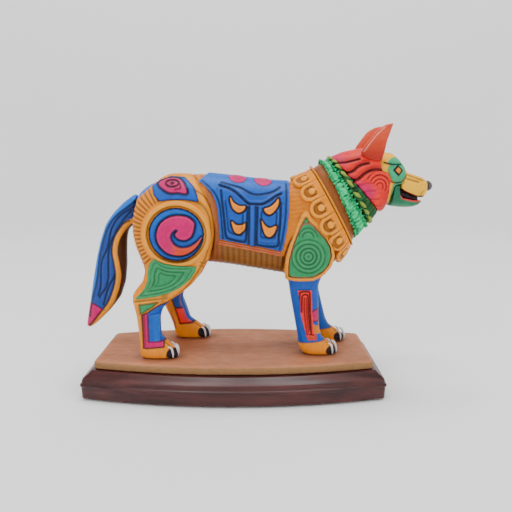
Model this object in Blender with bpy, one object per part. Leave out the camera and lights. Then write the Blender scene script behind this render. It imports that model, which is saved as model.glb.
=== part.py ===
"""Carved and painted wolf figure on a moulded display plinth, as separate glued and dowelled pieces.

Design values are in millimetres and become metres when a mesh is made. +X runs from the tail to
the nose, +Y is the animal's left side, +Z is up, and the origin is the centre of the underside.
"""
import math
from collections import namedtuple

import bmesh
import bpy
from mathutils import Vector

MM = 0.001
GAP = 0.35                # clearance between neighbouring pieces
FAR = 70.0                # reaches past every surface of the figure
BODY_SIDES = 24           # facets round the torso
LIMB_SIDES = 16           # facets round a leg or the tail
HEAD_SIDES = 20           # facets round the head, hood and jaw

# Plinth, slab and felt
PLINTH_LENGTH = 252.0
PLINTH_END_WIDTH = 92.4
PLINTH_BOW = 15.4         # how far each long side swells out at its middle
SLAB_LENGTH = 233.2
SLAB_END_WIDTH = 73.5
SLAB_BOW = 14.4
CORNER_RADIUS = 4.0
FELT_HEIGHT = 1.2
FELT_INSET = 5.0
PLINTH_FOOT = FELT_HEIGHT + 0.3
SLAB_FOOT = 23.55
SLAB_TOP = 30.7
FOOT_LEVEL = SLAB_TOP + 0.3
PLINTH_PROFILE = (        # height, inset from the widest line
    (PLINTH_FOOT, 1.4), (11.3, 0.9), (11.9, 0.2), (12.8, 0.0), (13.8, 0.3),
    (14.4, 1.4), (16.6, 1.6), (18.2, 2.3), (18.9, 3.3), (20.8, 5.8), (23.2, 8.2))
SLAB_PROFILE = ((SLAB_FOOT, 0.2), (28.4, 0.0), (30.1, 0.8), (SLAB_TOP, 2.2))

# Fasteners and dowels
SCREW_RADIUS = 1.8
SCREW_HEAD_RADIUS = 4.0
SCREW_HEAD_LEVEL = (2.2, 5.0)
SCREW_TOP = 44.0
LEG_DOWEL_RADIUS = 3.0
LEG_DOWEL_REACH = 17.0
HIP_DOWEL = (-48.0, 148.0)
SHOULDER_DOWEL = (62.0, 126.0)
NECK_DOWEL = ((92.0, 170.0), (123.0, 181.0))
NECK_DOWEL_RADIUS = 4.0
TAIL_DOWEL = ((-68.0, 154.0), (-99.0, 142.0))
TAIL_DOWEL_RADIUS = 2.6
EAR_PEG = ((112.5, -12.5, 190.0), (114.0, -17.5, 203.0))
EAR_PEG_RADIUS = 1.2

# The left legs step forward of the right ones, from the knee line down to the paws
HIND_STEP = 22.0
FORE_STEP = 12.5
STEP_TOP = 108.0

# A section is a rounded rectangle that stands across the piece: two end points in the XZ plane,
# half its width along Y, the Y of its centre, and the power of its superellipse.
Section = namedtuple("Section", "start end half_width y power")


def section(start, end, half_width, y=0.0, power=2.3):
    return Section(Vector(start), Vector(end), half_width, y, power)


TORSO = [
    section((-83, 160), (-85, 134), 10), section((-80, 167.5), (-82.5, 122), 17),
    section((-71.5, 174), (-75, 111), 22.5), section((-58.5, 180), (-60, 105), 26.5),
    section((-45, 183.2), (-44, 104.5), 28), section((-24.5, 183.2), (-24, 108), 27),
    section((-3.4, 181), (-4, 105.5), 26.5), section((22, 177.8), (20, 101.5), 26.5),
    section((44, 176), (44, 97.5), 27), section((54, 179.5), (60, 97.5), 27.5),
    section((61.5, 183), (78, 102.5), 27.5), section((66.5, 187), (90.4, 110.6), 26.5),
    section((70.3, 191.2), (100.5, 124.5), 25.5), section((76, 191.6), (107, 140), 23),
    section((82, 190.5), (111, 151), 20.5), section((88, 189.5), (109, 159), 18),
    section((94, 188), (109.5, 168), 13)]

HIND_LEG = [
    section((-54, 183.4), (-37, 183.4), 3, -5.6), section((-61, 179.6), (-31, 179.6), 7, -9),
    section((-69, 172.5), (-25, 172.5), 9.6, -13.6), section((-77.5, 164.5), (-20, 164.5), 11, -16.6, 2.6),
    section((-81, 156), (-16.5, 156), 12, -18, 2.8), section((-83, 147), (-14.5, 147), 12.5, -18.5, 3),
    section((-83.2, 135), (-14.5, 135), 13, -19, 3), section((-81, 124), (-17, 124), 12.6, -19, 3),
    section((-77, 113), (-20, 113), 11.6, -19.2, 2.8), section((-74, 104), (-26, 103), 10.4, -19.8, 2.6),
    section((-76, 95), (-33.5, 93), 9.2, -21, 2.5), section((-82, 88), (-42, 86), 8.2, -22.6, 2.4),
    section((-84.5, 83.5), (-51.5, 80), 7.5, -24.2, 2.4), section((-83.4, 76), (-58.6, 73), 7, -25.4, 2.4),
    section((-81.2, 66), (-60.7, 66), 6.8, -26, 2.4), section((-79.6, 51), (-60.4, 50), 6.8, -26.4, 2.4),
    section((-79, 44), (-54, 44), 7.6, -26.5, 2.5), section((-79, 38.5), (-48, 38.5), 8.3, -26.5, 2.7),
    section((-79, 34), (-45.5, 34), 8.5, -26.5, 2.7),
    section((-78.4, FOOT_LEVEL), (-46.5, FOOT_LEVEL), 8, -26.5, 2.6)]

FORE_LEG = [
    section((55, 157), (61.5, 157), 4, -17.5), section((52, 149), (66.5, 149), 7.5, -17.8),
    section((48, 138), (73.5, 138), 9.6, -18.3, 2.5), section((45, 128), (79.5, 128), 11, -18.4, 2.7),
    section((42.6, 117), (83.2, 117), 11.8, -18.2, 2.8), section((42.2, 107), (81, 107), 11.6, -18, 2.8),
    section((44, 98.5), (73.5, 98), 10.6, -18, 2.6), section((45.8, 93), (71.5, 92), 9.6, -18, 2.4),
    section((46.6, 86), (71.3, 85), 9, -18, 2.3), section((49.6, 70), (71.9, 69), 8.4, -18, 2.3),
    section((52.6, 54), (72.8, 53), 7.9, -17.8, 2.4), section((54.2, 45.5), (75, 45.5), 8, -17.7, 2.4),
    section((54.4, 41), (81.5, 41), 8.4, -17.6, 2.6), section((55.4, 36.5), (86.6, 36.5), 8.7, -17.6, 2.7),
    section((57.6, 33), (88, 33), 8.6, -17.6, 2.7),
    section((60, FOOT_LEVEL), (86.5, FOOT_LEVEL), 7.8, -17.6, 2.6)]

TAIL = [
    section((-76, 163), (-78, 142), 6, 0, 2.6), section((-84, 166.5), (-85, 140), 8.5, 0, 2.6),
    section((-93.5, 159.8), (-89.5, 137.5), 9.6, 0, 2.5), section((-103, 150.5), (-91.6, 133), 10, 0, 2.4),
    section((-110, 141), (-92.6, 127), 10.2, 0, 2.4), section((-115.3, 127), (-93, 117), 10.4, 0, 2.3),
    section((-119.7, 110.5), (-93.3, 104.5), 10.6, 0, 2.3), section((-123.5, 93), (-95, 90.5), 10.4, 0, 2.3),
    section((-126.4, 77.4), (-99.6, 77), 9.4, 0, 2.3), section((-129.3, 63), (-109.6, 64.4), 7.6, 0, 2.3),
    section((-131.4, 54), (-119.4, 55.4), 5, 0, 2.3), section((-132.4, 48), (-128.4, 48.4), 1.8, 0, 2.2)]

HEAD = [
    section((107, 192), (115, 165), 11), section((113, 197), (120, 158.5), 16.4),
    section((122, 201.4), (126.5, 157), 18), section((131.5, 200.4), (133, 157.5), 17.8),
    section((137.6, 195.4), (138, 160), 16.2), section((141.8, 189.2), (142, 161), 14),
    section((145.6, 184.4), (146, 162), 11.6), section((152, 182.2), (152, 161.5), 10),
    section((157.8, 180.2), (157.6, 162), 9), section((161.2, 178.6), (160.6, 163.4), 7.6),
    section((163, 176.4), (162.6, 166.4), 5.6)]

JAW = [
    section((127, 180), (129, 156.2), 17.9), section((134, 180), (134, 155.8), 17),
    section((139, 178), (140, 155), 14.2), section((145, 174), (146, 154.8), 11.2),
    section((151, 170), (151.6, 155.2), 9), section((156, 166), (156, 156.8), 7),
    section((158.6, 164), (158.4, 158.8), 4.6)]

# The hood's sections lean with the neck, and its rear edge swells back along each side
HOOD = [
    section((79.5, 196.6), (121.2, 151.4), 25.2), section((91.5, 201.6), (124.3, 150.6), 25),
    section((105, 204.3), (126.3, 151), 23.6), section((117.5, 203.8), (128, 152), 21.6),
    section((130, 201.5), (130, 154), 19.6)]

RUFF = [
    section((72.8, 192.4), (101.6, 132), 25.8), section((73.8, 194), (104.6, 130.6), 28),
    section((76.6, 194), (109.4, 136), 27.4), section((78.4, 192.2), (111.6, 141), 25)]

INNER_RUFF = [
    section((79.2, 192.2), (112.2, 141.8), 24.4), section((80, 194.4), (114, 141.6), 26),
    section((84, 197), (120.4, 149), 24.6), section((90, 197), (121, 154), 21)]

NOSE = [
    section((158, 175), (158, 168.6), 3), section((161.6, 177.4), (161.8, 168.8), 5.4),
    section((164.4, 177.4), (164.6, 168.2), 5.8), section((166.6, 176), (166.6, 169.4), 4.6),
    section((167.5, 174.2), (167.4, 171.2), 2.4)]

EAR = [
    section((104, 193), (117.5, 187), 4.6, -13.5), section((102.9, 200.5), (120.8, 193), 5, -16.2),
    section((105.4, 206), (122.4, 201), 4.6, -18.2), section((110.4, 212.6), (123.6, 208.6), 3.8, -19.8),
    section((115.4, 218.8), (125.7, 215.6), 2.8, -20.6), section((121.6, 222.2), (127.4, 220.6), 1.8, -20.5),
    section((127.4, 223.4), (128.4, 223.2), 0.7, -20)]

# The collar lies between a scalloped rear edge and a straight front edge
COLLAR_REAR = section((53, 181), (91, 115), 27.5)
COLLAR_FRONT = section((63.8, 187), (98.6, 123.4), 26.5)
SCALLOPS = 14
SCALLOP_DEPTH = 6.0
COLLAR_THICKNESS = 2.4
SADDLE_THICKNESS = 1.6
RIM_THICKNESS = 2.2

# Outlines of the relief panels in the XZ plane
HIP_CENTRE = (-45.4, 135.3)
HIP_DISC = (22.6, 21.8)
HIP_RIM = (27.8, 27.2)
RIM_GAP = 0.8
SADDLE = (
    (-21, 197), (-22, 184), (-28.6, 177.8), (-21.5, 172.4), (-17, 167.6), (-13.8, 161), (-12.3, 153),
    (-11.4, 142), (-10.9, 130.6), (40.1, 120.7), (42.2, 130), (44.2, 142), (45.4, 155), (46, 175), (46, 197))
SADDLE_TRIM = ((-11.2, 129.9), (39.9, 120), (39.6, 116.4), (-13.2, 126.8))
RUMP_LOBE = (
    (-66.2, 173.4), (-60, 178.6), (-51, 181.8), (-39, 181), (-31.5, 173.4), (-28.4, 167), (-27, 160.9),
    (-39, 162.6), (-50, 162.6), (-58.4, 161.4), (-63.4, 166))
RUMP_SPIRAL = (
    (-60.2, 175.6), (-53, 179.4), (-44, 179.2), (-39, 174.4), (-36.8, 167.9), (-44, 168.6), (-50.2, 168.4),
    (-56.4, 171.4))
HIP_SPIRAL_OUTER = (
    (-30.5, 142.7), (-32, 146.8), (-37, 149.8), (-44.1, 150.6), (-51.5, 149), (-58, 144), (-61, 136.2),
    (-60, 128.6), (-54, 121.2), (-46, 118.4), (-37.4, 119.4), (-29.6, 124.6), (-24.2, 133.4))
HIP_SPIRAL_INNER = (
    (-28.8, 129.4), (-35, 125.6), (-41.8, 124.8), (-47, 127.4), (-49.8, 132.5), (-48.8, 136.6),
    (-45.6, 139.6), (-44.2, 138.4), (-46.2, 135.4), (-43.6, 132.2), (-38.1, 131.2), (-33, 134.4))
THIGH_PANEL = (
    (-64.5, 115.6), (-57, 112), (-47.2, 110), (-29.4, 109), (-31.4, 103.4), (-35, 98), (-43.9, 90.8),
    (-53, 86.8), (-62.1, 84.2), (-72, 82.6), (-82, 81.4), (-76.4, 86.2), (-73, 90.6), (-70.6, 97),
    (-70.4, 104), (-68.6, 110.6))
SHANK_PANEL = ((-70.4, 68.2), (-60.8, 69.8), (-61.2, 46.4), (-70.4, 46.4))
TEARDROP = (
    (58.8, 148.2), (61.6, 144.6), (68, 138), (75, 130.6), (78.8, 123.6), (79.6, 117), (77.6, 110),
    (72.4, 104), (65, 100.2), (55, 99.8), (46.2, 100.2), (45.8, 108), (46.8, 116), (49.6, 126.6),
    (53.8, 138))
TEARDROP_BORDER = 3.6
FORELEG_PANEL = ((53, 88.6), (64.8, 88.6), (65.6, 68), (68.2, 46), (61.8, 46), (56, 66))
MASK_CENTRE = (133.4, 184.9)
MASK_RADIUS = 8.4
EYE_OUTLINE = ((130.6, 186.1), (133.9, 189.3), (137.2, 186), (134.2, 182.6))
HOOD_FRONT = (
    (60, 140), (60, 215), (121.8, 215), (121.8, 201), (119.6, 193), (120.6, 186.6), (125, 185.8),
    (128.3, 178.4), (127.4, 169), (126.8, 159), (124.4, 151.6), (122, 140))
MOUTH_CUT = (
    (130.8, 145), (130.8, 164.2), (132.1, 173.9), (138.4, 175.2), (138.6, 171), (140.6, 169.2),
    (152.8, 163.9), (158, 163.2), (175, 162.8), (175, 145))
JAW_OUTLINE = (
    (131.2, 145), (131.2, 164.2), (132.5, 173.5), (137.9, 174.7), (137, 170), (137.3, 166), (139.7, 163),
    (150.1, 160.8), (156, 160.6), (165, 160.6), (165, 145))


# ---------------------------------------------------------------- mesh tools

def new_mesh(points, faces):
    """Closed mesh from millimetre points, its faces turned outward."""
    shape = bmesh.new()
    corners = [shape.verts.new(Vector(point) * MM) for point in points]
    for face in faces:
        shape.faces.new([corners[index] for index in face])
    bmesh.ops.recalc_face_normals(shape, faces=shape.faces)
    mesh = bpy.data.meshes.new("shape")
    shape.to_mesh(mesh)
    shape.free()
    return mesh


def stacked_loops(loops, closed=False):
    """Mesh through loops of equal length, capped at both ends or closed into a ring."""
    count = len(loops[0])
    points = [point for loop in loops for point in loop]
    spans = len(loops) if closed else len(loops) - 1
    faces = []
    for row in range(spans):
        here = row * count
        there = (row + 1) % len(loops) * count
        for column in range(count):
            after = (column + 1) % count
            faces.append((here + column, here + after, there + after, there + column))
    if not closed:
        faces.append(tuple(range(count)))
        faces.append(tuple(reversed(range(len(points) - count, len(points)))))
    return new_mesh(points, faces)


def section_loop(shape, grow, count):
    """Points round a section that is grown outward all round."""
    centre = (shape.start + shape.end) / 2
    half = (shape.start - shape.end) / 2
    across = half.normalized() * (half.length + grow)
    loop = []
    for index in range(count):
        angle = math.tau * (index + 0.5) / count
        along = math.copysign(abs(math.cos(angle)) ** (2 / shape.power), math.cos(angle))
        aside = math.copysign(abs(math.sin(angle)) ** (2 / shape.power), math.sin(angle))
        x, z = centre + across * along
        loop.append((x, shape.y + (shape.half_width + grow) * aside, z))
    return loop


def moved_section(shape, step):
    return shape._replace(start=shape.start + step, end=shape.end + step)


def loft(sections, grow=0.0, count=LIMB_SIDES):
    """Solid through the sections; grow makes the same solid fatter all round, ends included."""
    middles = [(shape.start + shape.end) / 2 for shape in sections]
    head = moved_section(sections[0], (middles[0] - middles[1]).normalized() * grow)
    tail = moved_section(sections[-1], (middles[-1] - middles[-2]).normalized() * grow)
    stretched = [head, *sections[1:-1], tail]
    return stacked_loops([section_loop(shape, grow, count) for shape in stretched])


def prism(outline, low=-FAR, high=FAR):
    """Upright slab with an XZ outline, running along Y."""
    return stacked_loops([[(x, y, z) for x, z in outline] for y in (low, high)])


def rod(start, end, radius, count=12):
    """Round rod between two points."""
    start, end = Vector(start), Vector(end)
    axis = (end - start).normalized()
    side = axis.orthogonal().normalized()
    other = axis.cross(side)
    turns = [math.tau * index / count for index in range(count)]
    ring = [(side * math.cos(turn) + other * math.sin(turn)) * radius for turn in turns]
    return stacked_loops([[end_point + offset for offset in ring] for end_point in (start, end)])


def combined(mesh, operation, *others):
    """The mesh after an exact Boolean with each of the others."""
    for other in others:
        base = bpy.data.objects.new("base", mesh)
        tool = bpy.data.objects.new("tool", other)
        for item in (base, tool):
            bpy.context.scene.collection.objects.link(item)
        step = base.modifiers.new("step", "BOOLEAN")
        step.operation = operation
        step.solver = "EXACT"
        step.object = tool
        evaluated = base.evaluated_get(bpy.context.evaluated_depsgraph_get())
        mesh = bpy.data.meshes.new_from_object(evaluated)
        for item in (base, tool):
            bpy.data.objects.remove(item)
    return cleaned(mesh)


def cleaned(mesh):
    """Weld the slivers that a Boolean leaves, far below the clearance, and settle the triangles."""
    shape = bmesh.new()
    shape.from_mesh(mesh)
    bmesh.ops.remove_doubles(shape, verts=shape.verts, dist=0.02 * MM)
    bmesh.ops.dissolve_degenerate(shape, edges=shape.edges, dist=0.01 * MM)
    bmesh.ops.triangulate(shape, faces=shape.faces)
    shape.to_mesh(mesh)
    shape.free()
    return mesh


def mirrored(mesh, step=0.0):
    """The left-hand twin of a right-hand piece, its lower end moved forward by step."""
    shape = bmesh.new()
    shape.from_mesh(mesh)
    for corner in shape.verts:
        corner.co.y = -corner.co.y
        height = min(max((STEP_TOP - corner.co.z / MM) / (STEP_TOP - FOOT_LEVEL), 0.0), 1.0)
        ease = height * height * (3 - 2 * height) * 0.5 + height * 0.5
        corner.co.x += step * MM * ease
    bmesh.ops.reverse_faces(shape, faces=shape.faces)
    result = bpy.data.meshes.new("mirrored")
    shape.to_mesh(result)
    shape.free()
    return result


def ellipse(centre, radii, count=28):
    turns = [math.tau * index / count for index in range(count)]
    return [(centre[0] + radii[0] * math.cos(turn), centre[1] + radii[1] * math.sin(turn)) for turn in turns]


def widened(outline, border):
    """The outline moved outward by a border of even width."""
    count = len(outline)
    area = sum(outline[i][0] * outline[(i + 1) % count][1] - outline[(i + 1) % count][0] * outline[i][1]
               for i in range(count))
    turn = math.copysign(1.0, area)
    moved = []
    for index in range(count):
        here = Vector(outline[index])
        before = (here - Vector(outline[index - 1])).normalized()
        after = (Vector(outline[(index + 1) % count]) - here).normalized()
        normal = Vector((before.y + after.y, -before.x - after.x)) * turn
        normal.normalize()
        spread = max(0.5, normal.dot(Vector((before.y, -before.x)) * turn))
        point = here + normal * border / spread
        moved.append((point.x, point.y))
    return moved


def plate(outline, sections, low, high, count=LIMB_SIDES, inner_y=0.0):
    """Panel on the right-hand side of a lofted body, between two heights above its surface."""
    panel = combined(prism(outline, -FAR, inner_y), "INTERSECT", loft(sections, high, count))
    return combined(panel, "DIFFERENCE", loft(sections, low, count))


def piece(name, mesh, colour, roughness, metallic=0.0):
    """Named sub-part with its own material."""
    body = bpy.data.objects.new(name, mesh)
    mesh.name = name
    bpy.context.scene.collection.objects.link(body)
    finish = bpy.data.materials.new(name)
    finish.use_nodes = True
    shader = finish.node_tree.nodes["Principled BSDF"]
    shader.inputs["Base Color"].default_value = (*colour, 1.0)
    shader.inputs["Roughness"].default_value = roughness
    shader.inputs["Metallic"].default_value = metallic
    mesh.materials.clear()
    mesh.materials.append(finish)
    mesh.shade_smooth()
    mesh.set_sharp_from_angle(angle=math.radians(38))
    return body


# ---------------------------------------------------------------- base

GOLD = (0.72, 0.38, 0.07)
BLUE = (0.03, 0.15, 0.45)
MAGENTA = (0.65, 0.04, 0.22)
GREEN = (0.06, 0.32, 0.12)
TEAL = (0.08, 0.45, 0.28)
RED = (0.62, 0.06, 0.04)
ORANGE = (0.6, 0.12, 0.03)
LIME = (0.03, 0.12, 0.04)
MAHOGANY = (0.06, 0.018, 0.018)
TAN = (0.36, 0.16, 0.08)
STEEL = (0.55, 0.55, 0.53)
BEECH = (0.55, 0.38, 0.2)
FELT = (0.02, 0.05, 0.03)
INK = (0.02, 0.015, 0.03)
AMBER = (0.8, 0.3, 0.02)
PAINT = 0.42


def bowed_loop(length, end_width, bow, inset, z):
    """Level outline with straight ends, bowed long sides and small round corners."""
    half_length = length / 2 - inset
    half_width = end_width / 2 - inset
    radius = max(CORNER_RADIUS - inset, 1.0)
    long_points = 12
    corner_points = 3
    reach = half_length - radius
    front = []
    for index in range(long_points + 1):
        x = -reach + 2 * reach * index / long_points
        front.append((x, -half_width - bow * (1 - (x / half_length) ** 2), z))
    corner_y = front[-1][1] + radius
    corner = []
    for index in range(1, corner_points + 1):
        turn = math.radians(-90 + 90 * index / corner_points)
        corner.append((reach + radius * math.cos(turn), corner_y + radius * math.sin(turn), z))
    quarter = front[long_points // 2:] + corner
    right = quarter + [(x, -y, z) for x, y, z in reversed(quarter)]
    left = [(-x, y, z) for x, y, z in reversed(right[1:-1])]
    return right + left


def moulded(length, end_width, bow, profile):
    return stacked_loops([bowed_loop(length, end_width, bow, inset, z) for z, inset in profile])


def screw_places():
    """Each paw's screw: right hind, left hind, right fore, left fore."""
    hind_x, hind_y = -69.0, 26.5
    fore_x, fore_y = 66.0, 17.6
    return [(hind_x, -hind_y), (hind_x + HIND_STEP, hind_y), (fore_x, -fore_y), (fore_x + FORE_STEP, fore_y)]


def base_screw(x, y, grow=0.0):
    """Countersunk screw that stands head down, with its clearance hole when grown."""
    low, neck = SCREW_HEAD_LEVEL
    head = rod((x, y, low - 4 * grow), (x, y, neck + grow), SCREW_HEAD_RADIUS + grow, 12)
    shank = rod((x, y, low + 0.5), (x, y, SCREW_TOP + grow), SCREW_RADIUS + grow, 12)
    return combined(head, "UNION", shank)


def make_base():
    drills = [base_screw(x, y, GAP) for x, y in screw_places()]
    board = moulded(PLINTH_LENGTH, PLINTH_END_WIDTH, PLINTH_BOW, PLINTH_PROFILE)
    piece("plinth_board", combined(board, "DIFFERENCE", *drills), MAHOGANY, 0.25)
    drills = [base_screw(x, y, GAP) for x, y in screw_places()]
    slab = moulded(SLAB_LENGTH, SLAB_END_WIDTH, SLAB_BOW, SLAB_PROFILE)
    piece("ground_slab", combined(slab, "DIFFERENCE", *drills), TAN, 0.55)
    felt_profile = ((0.0, FELT_INSET), (FELT_HEIGHT, FELT_INSET))
    felt = moulded(PLINTH_LENGTH, PLINTH_END_WIDTH, PLINTH_BOW, felt_profile)
    piece("felt_pad", felt, FELT, 0.95)
    for name, place in zip(("hind_right", "hind_left", "fore_right", "fore_left"), screw_places()):
        piece(f"base_screw_{name}", base_screw(*place), STEEL, 0.35, 1.0)


# ---------------------------------------------------------------- legs

def leg_dowel(place, grow=0.0):
    x, z = place
    reach = LEG_DOWEL_REACH + 2 * grow
    return rod((x, -reach, z), (x, reach, z), LEG_DOWEL_RADIUS + grow)


def leg_pair(name, sections, step, dowel, screws):
    """Both legs of a pair, each drilled for the cross dowel and for its own base screw."""
    for side, screw in zip(("right", "left"), screws):
        leg = loft(sections)
        if side == "left":
            leg = mirrored(leg, step)
        leg = combined(leg, "DIFFERENCE", leg_dowel(dowel, GAP), base_screw(*screw, GAP))
        piece(f"{name}_{side}", leg, GOLD, PAINT)


def make_legs():
    places = screw_places()
    leg_pair("hind_leg", HIND_LEG, HIND_STEP, HIP_DOWEL, places[:2])
    leg_pair("fore_leg", FORE_LEG, FORE_STEP, SHOULDER_DOWEL, places[2:])
    piece("hip_dowel", leg_dowel(HIP_DOWEL), BEECH, 0.6)
    piece("shoulder_dowel", leg_dowel(SHOULDER_DOWEL), BEECH, 0.6)


def both_sides(name, mesh, colour, roughness=PAINT, step=0.0):
    piece(f"{name}_right", mesh, colour, roughness)
    piece(f"{name}_left", mirrored(mesh, step), colour, roughness)


def ring_plate(outer, inner, sections, low, high, inner_y):
    """Plate with an open middle."""
    solid = plate(outer, sections, low, high, inner_y=inner_y)
    return combined(solid, "DIFFERENCE", prism(inner))


def outside_torso(mesh):
    return combined(mesh, "DIFFERENCE", loft(TORSO, GAP, BODY_SIDES))


def make_hip():
    rim_inner = ellipse(HIP_CENTRE, [radius + RIM_GAP for radius in HIP_DISC])
    rim = ring_plate(ellipse(HIP_CENTRE, HIP_RIM), rim_inner, HIND_LEG, GAP, RIM_THICKNESS, -19)
    rim = combined(rim, "DIFFERENCE", prism(widened(THIGH_PANEL, 2 * GAP)))
    both_sides("hip_rim", outside_torso(rim), GOLD)
    disc = plate(ellipse(HIP_CENTRE, HIP_DISC), HIND_LEG, GAP, 1.3, inner_y=-19)
    both_sides("hip_disc", outside_torso(disc), BLUE)
    comma = HIP_SPIRAL_OUTER + HIP_SPIRAL_INNER
    both_sides("hip_spiral", plate(comma, HIND_LEG, 1.3 + GAP, 2.6, inner_y=-19), MAGENTA)
    both_sides("rump_lobe", outside_torso(plate(RUMP_LOBE, HIND_LEG, GAP, 1.5)), BLUE)
    both_sides("rump_spiral", outside_torso(plate(RUMP_SPIRAL, HIND_LEG, 1.5 + GAP, 2.6)), MAGENTA)
    both_sides("thigh_panel", plate(THIGH_PANEL, HIND_LEG, GAP, 1.5, inner_y=-21), GREEN, step=HIND_STEP)
    both_sides("shank_panel", plate(SHANK_PANEL, HIND_LEG, GAP, 1.2, inner_y=-26), BLUE, step=HIND_STEP)


def make_shoulder():
    border = widened(TEARDROP, TEARDROP_BORDER)
    rim_inner = widened(TEARDROP, RIM_GAP)
    rim = ring_plate(border, rim_inner, FORE_LEG, GAP, RIM_THICKNESS, -18)
    both_sides("shoulder_rim", outside_torso(rim), GOLD, step=FORE_STEP)
    panel = plate(TEARDROP, FORE_LEG, GAP, 1.4, inner_y=-18)
    both_sides("shoulder_panel", outside_torso(panel), GREEN, step=FORE_STEP)
    both_sides("foreleg_panel", plate(FORELEG_PANEL, FORE_LEG, GAP, 1.3, inner_y=-18), RED, step=FORE_STEP)


# ---------------------------------------------------------------- torso, saddle and tail

def neck_dowel(grow=0.0):
    (x0, z0), (x1, z1) = NECK_DOWEL
    axis = Vector((x1 - x0, 0, z1 - z0)).normalized() * 2 * grow
    return rod(Vector((x0, 0, z0)) - axis, Vector((x1, 0, z1)) + axis, NECK_DOWEL_RADIUS + grow)


def tail_dowel(grow=0.0):
    (x0, z0), (x1, z1) = TAIL_DOWEL
    axis = Vector((x1 - x0, 0, z1 - z0)).normalized() * 2 * grow
    return rod(Vector((x0, 0, z0)) - axis, Vector((x1, 0, z1)) + axis, TAIL_DOWEL_RADIUS + grow)


def grown_leg(sections, side, step):
    leg = loft(sections, GAP)
    return mirrored(leg, step) if side == "left" else leg


def make_torso():
    pairs = ((HIND_LEG, HIND_STEP), (FORE_LEG, FORE_STEP))
    legs = [grown_leg(sections, side, step) for sections, step in pairs for side in ("right", "left")]
    dowels = [leg_dowel(HIP_DOWEL, GAP), leg_dowel(SHOULDER_DOWEL, GAP), neck_dowel(GAP), tail_dowel(GAP)]
    piece("torso", combined(loft(TORSO, 0, BODY_SIDES), "DIFFERENCE", *legs, *dowels), GOLD, PAINT)
    tail = combined(loft(TAIL), "DIFFERENCE", loft(TORSO, GAP, BODY_SIDES), tail_dowel(GAP))
    piece("tail", tail, BLUE, PAINT)
    piece("neck_dowel", neck_dowel(), BEECH, 0.6)
    piece("tail_dowel", tail_dowel(), BEECH, 0.6)


def torso_wrap(outline, low, high):
    """Panel that wraps over the back and down both sides."""
    panel = combined(prism(outline), "INTERSECT", loft(TORSO, high, BODY_SIDES))
    return combined(panel, "DIFFERENCE", loft(TORSO, low, BODY_SIDES))


def make_saddle():
    piece("saddle_panel", torso_wrap(SADDLE, GAP, SADDLE_THICKNESS), BLUE, PAINT)
    trim = plate(SADDLE_TRIM, TORSO, GAP, 1.4, BODY_SIDES, -5)
    both_sides("saddle_trim", trim, ORANGE)


# ---------------------------------------------------------------- collar and ruff

def even_loop(shape, grow, count):
    """Points round a section at equal distances along its edge, starting at its top."""
    fine = [Vector(point) for point in section_loop(shape, grow, 360)]
    lengths = [0.0]
    for index in range(len(fine)):
        lengths.append(lengths[-1] + (fine[(index + 1) % len(fine)] - fine[index]).length)
    loop = []
    place = 0
    for index in range(count):
        target = lengths[-1] * index / count
        while lengths[place + 1] < target:
            place += 1
        share = (target - lengths[place]) / (lengths[place + 1] - lengths[place])
        loop.append(fine[place].lerp(fine[(place + 1) % len(fine)], share))
    return loop


def scalloped_band(per_scallop=4):
    """Thick washer across the neck, with a scalloped rear edge, that cuts the collar from a shell."""
    count = SCALLOPS * per_scallop
    middle = [sum(even_loop(edge, 0, count), Vector()) / count for edge in (COLLAR_REAR, COLLAR_FRONT)]
    back = (middle[0] - middle[1]).normalized()
    phases = [math.pi * index / per_scallop for index in range(count)]
    waves = [back * SCALLOP_DEPTH * abs(math.cos(phase)) ** 0.6 for phase in phases]
    rear = [[point + wave for point, wave in zip(even_loop(COLLAR_REAR, reach, count), waves)]
            for reach in (-8, 14)]
    front = [even_loop(COLLAR_FRONT, reach, count) for reach in (14, -8)]
    return stacked_loops(rear + front, closed=True)


def neck_ring(sections, count=BODY_SIDES):
    """Ring round the neck, hollow so that the neck passes through."""
    return combined(loft(sections, 0, count), "DIFFERENCE", loft(TORSO, GAP, BODY_SIDES))


def make_collar():
    shell = combined(loft(TORSO, COLLAR_THICKNESS, BODY_SIDES), "INTERSECT", scalloped_band())
    collar = combined(shell, "DIFFERENCE", loft(TORSO, GAP, BODY_SIDES))
    legs = [grown_leg(FORE_LEG, side, FORE_STEP) for side in ("right", "left")]
    border = widened(TEARDROP, TEARDROP_BORDER + GAP)
    rim = combined(prism(border, -FAR, -10), "INTERSECT", loft(FORE_LEG, RIM_THICKNESS + GAP))
    rims = [rim, mirrored(rim, FORE_STEP)]
    piece("collar", combined(collar, "DIFFERENCE", *legs, *rims), GOLD, PAINT)
    ridge_step = Vector((1.9, 1.0))
    rise = 3.0
    low = moved_section(COLLAR_FRONT, Vector((0.45, 0.22)))
    high = moved_section(low, ridge_step)
    crest = moved_section(low, ridge_step / 2)._replace(half_width=low.half_width + rise)
    lift = (crest.start - crest.end).normalized() * rise
    crest = crest._replace(start=crest.start + lift, end=crest.end - lift)
    piece("collar_ridge", neck_ring([low, crest, high]), ORANGE, PAINT)
    piece("ruff", neck_ring(RUFF), GREEN, 0.6)
    inner = combined(neck_ring(INNER_RUFF), "DIFFERENCE", hood_blank(GAP), neck_dowel(GAP))
    piece("inner_ruff", inner, LIME, 0.6)


# ---------------------------------------------------------------- head

def hood_blank(grow=0.0):
    """The hood's outer form, trimmed along its front edge."""
    return combined(loft(HOOD, grow, HEAD_SIDES), "INTERSECT", prism(widened(HOOD_FRONT, grow)))


def ear(side, grow=0.0):
    shape = loft(EAR, grow, 10)
    return mirrored(shape) if side == "left" else shape


def ear_peg(side, grow=0.0):
    start, end = (Vector(point) for point in EAR_PEG)
    axis = (end - start).normalized() * 2 * grow
    peg = rod(start - axis, end + axis, EAR_PEG_RADIUS + grow, 10)
    return mirrored(peg) if side == "left" else peg


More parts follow.
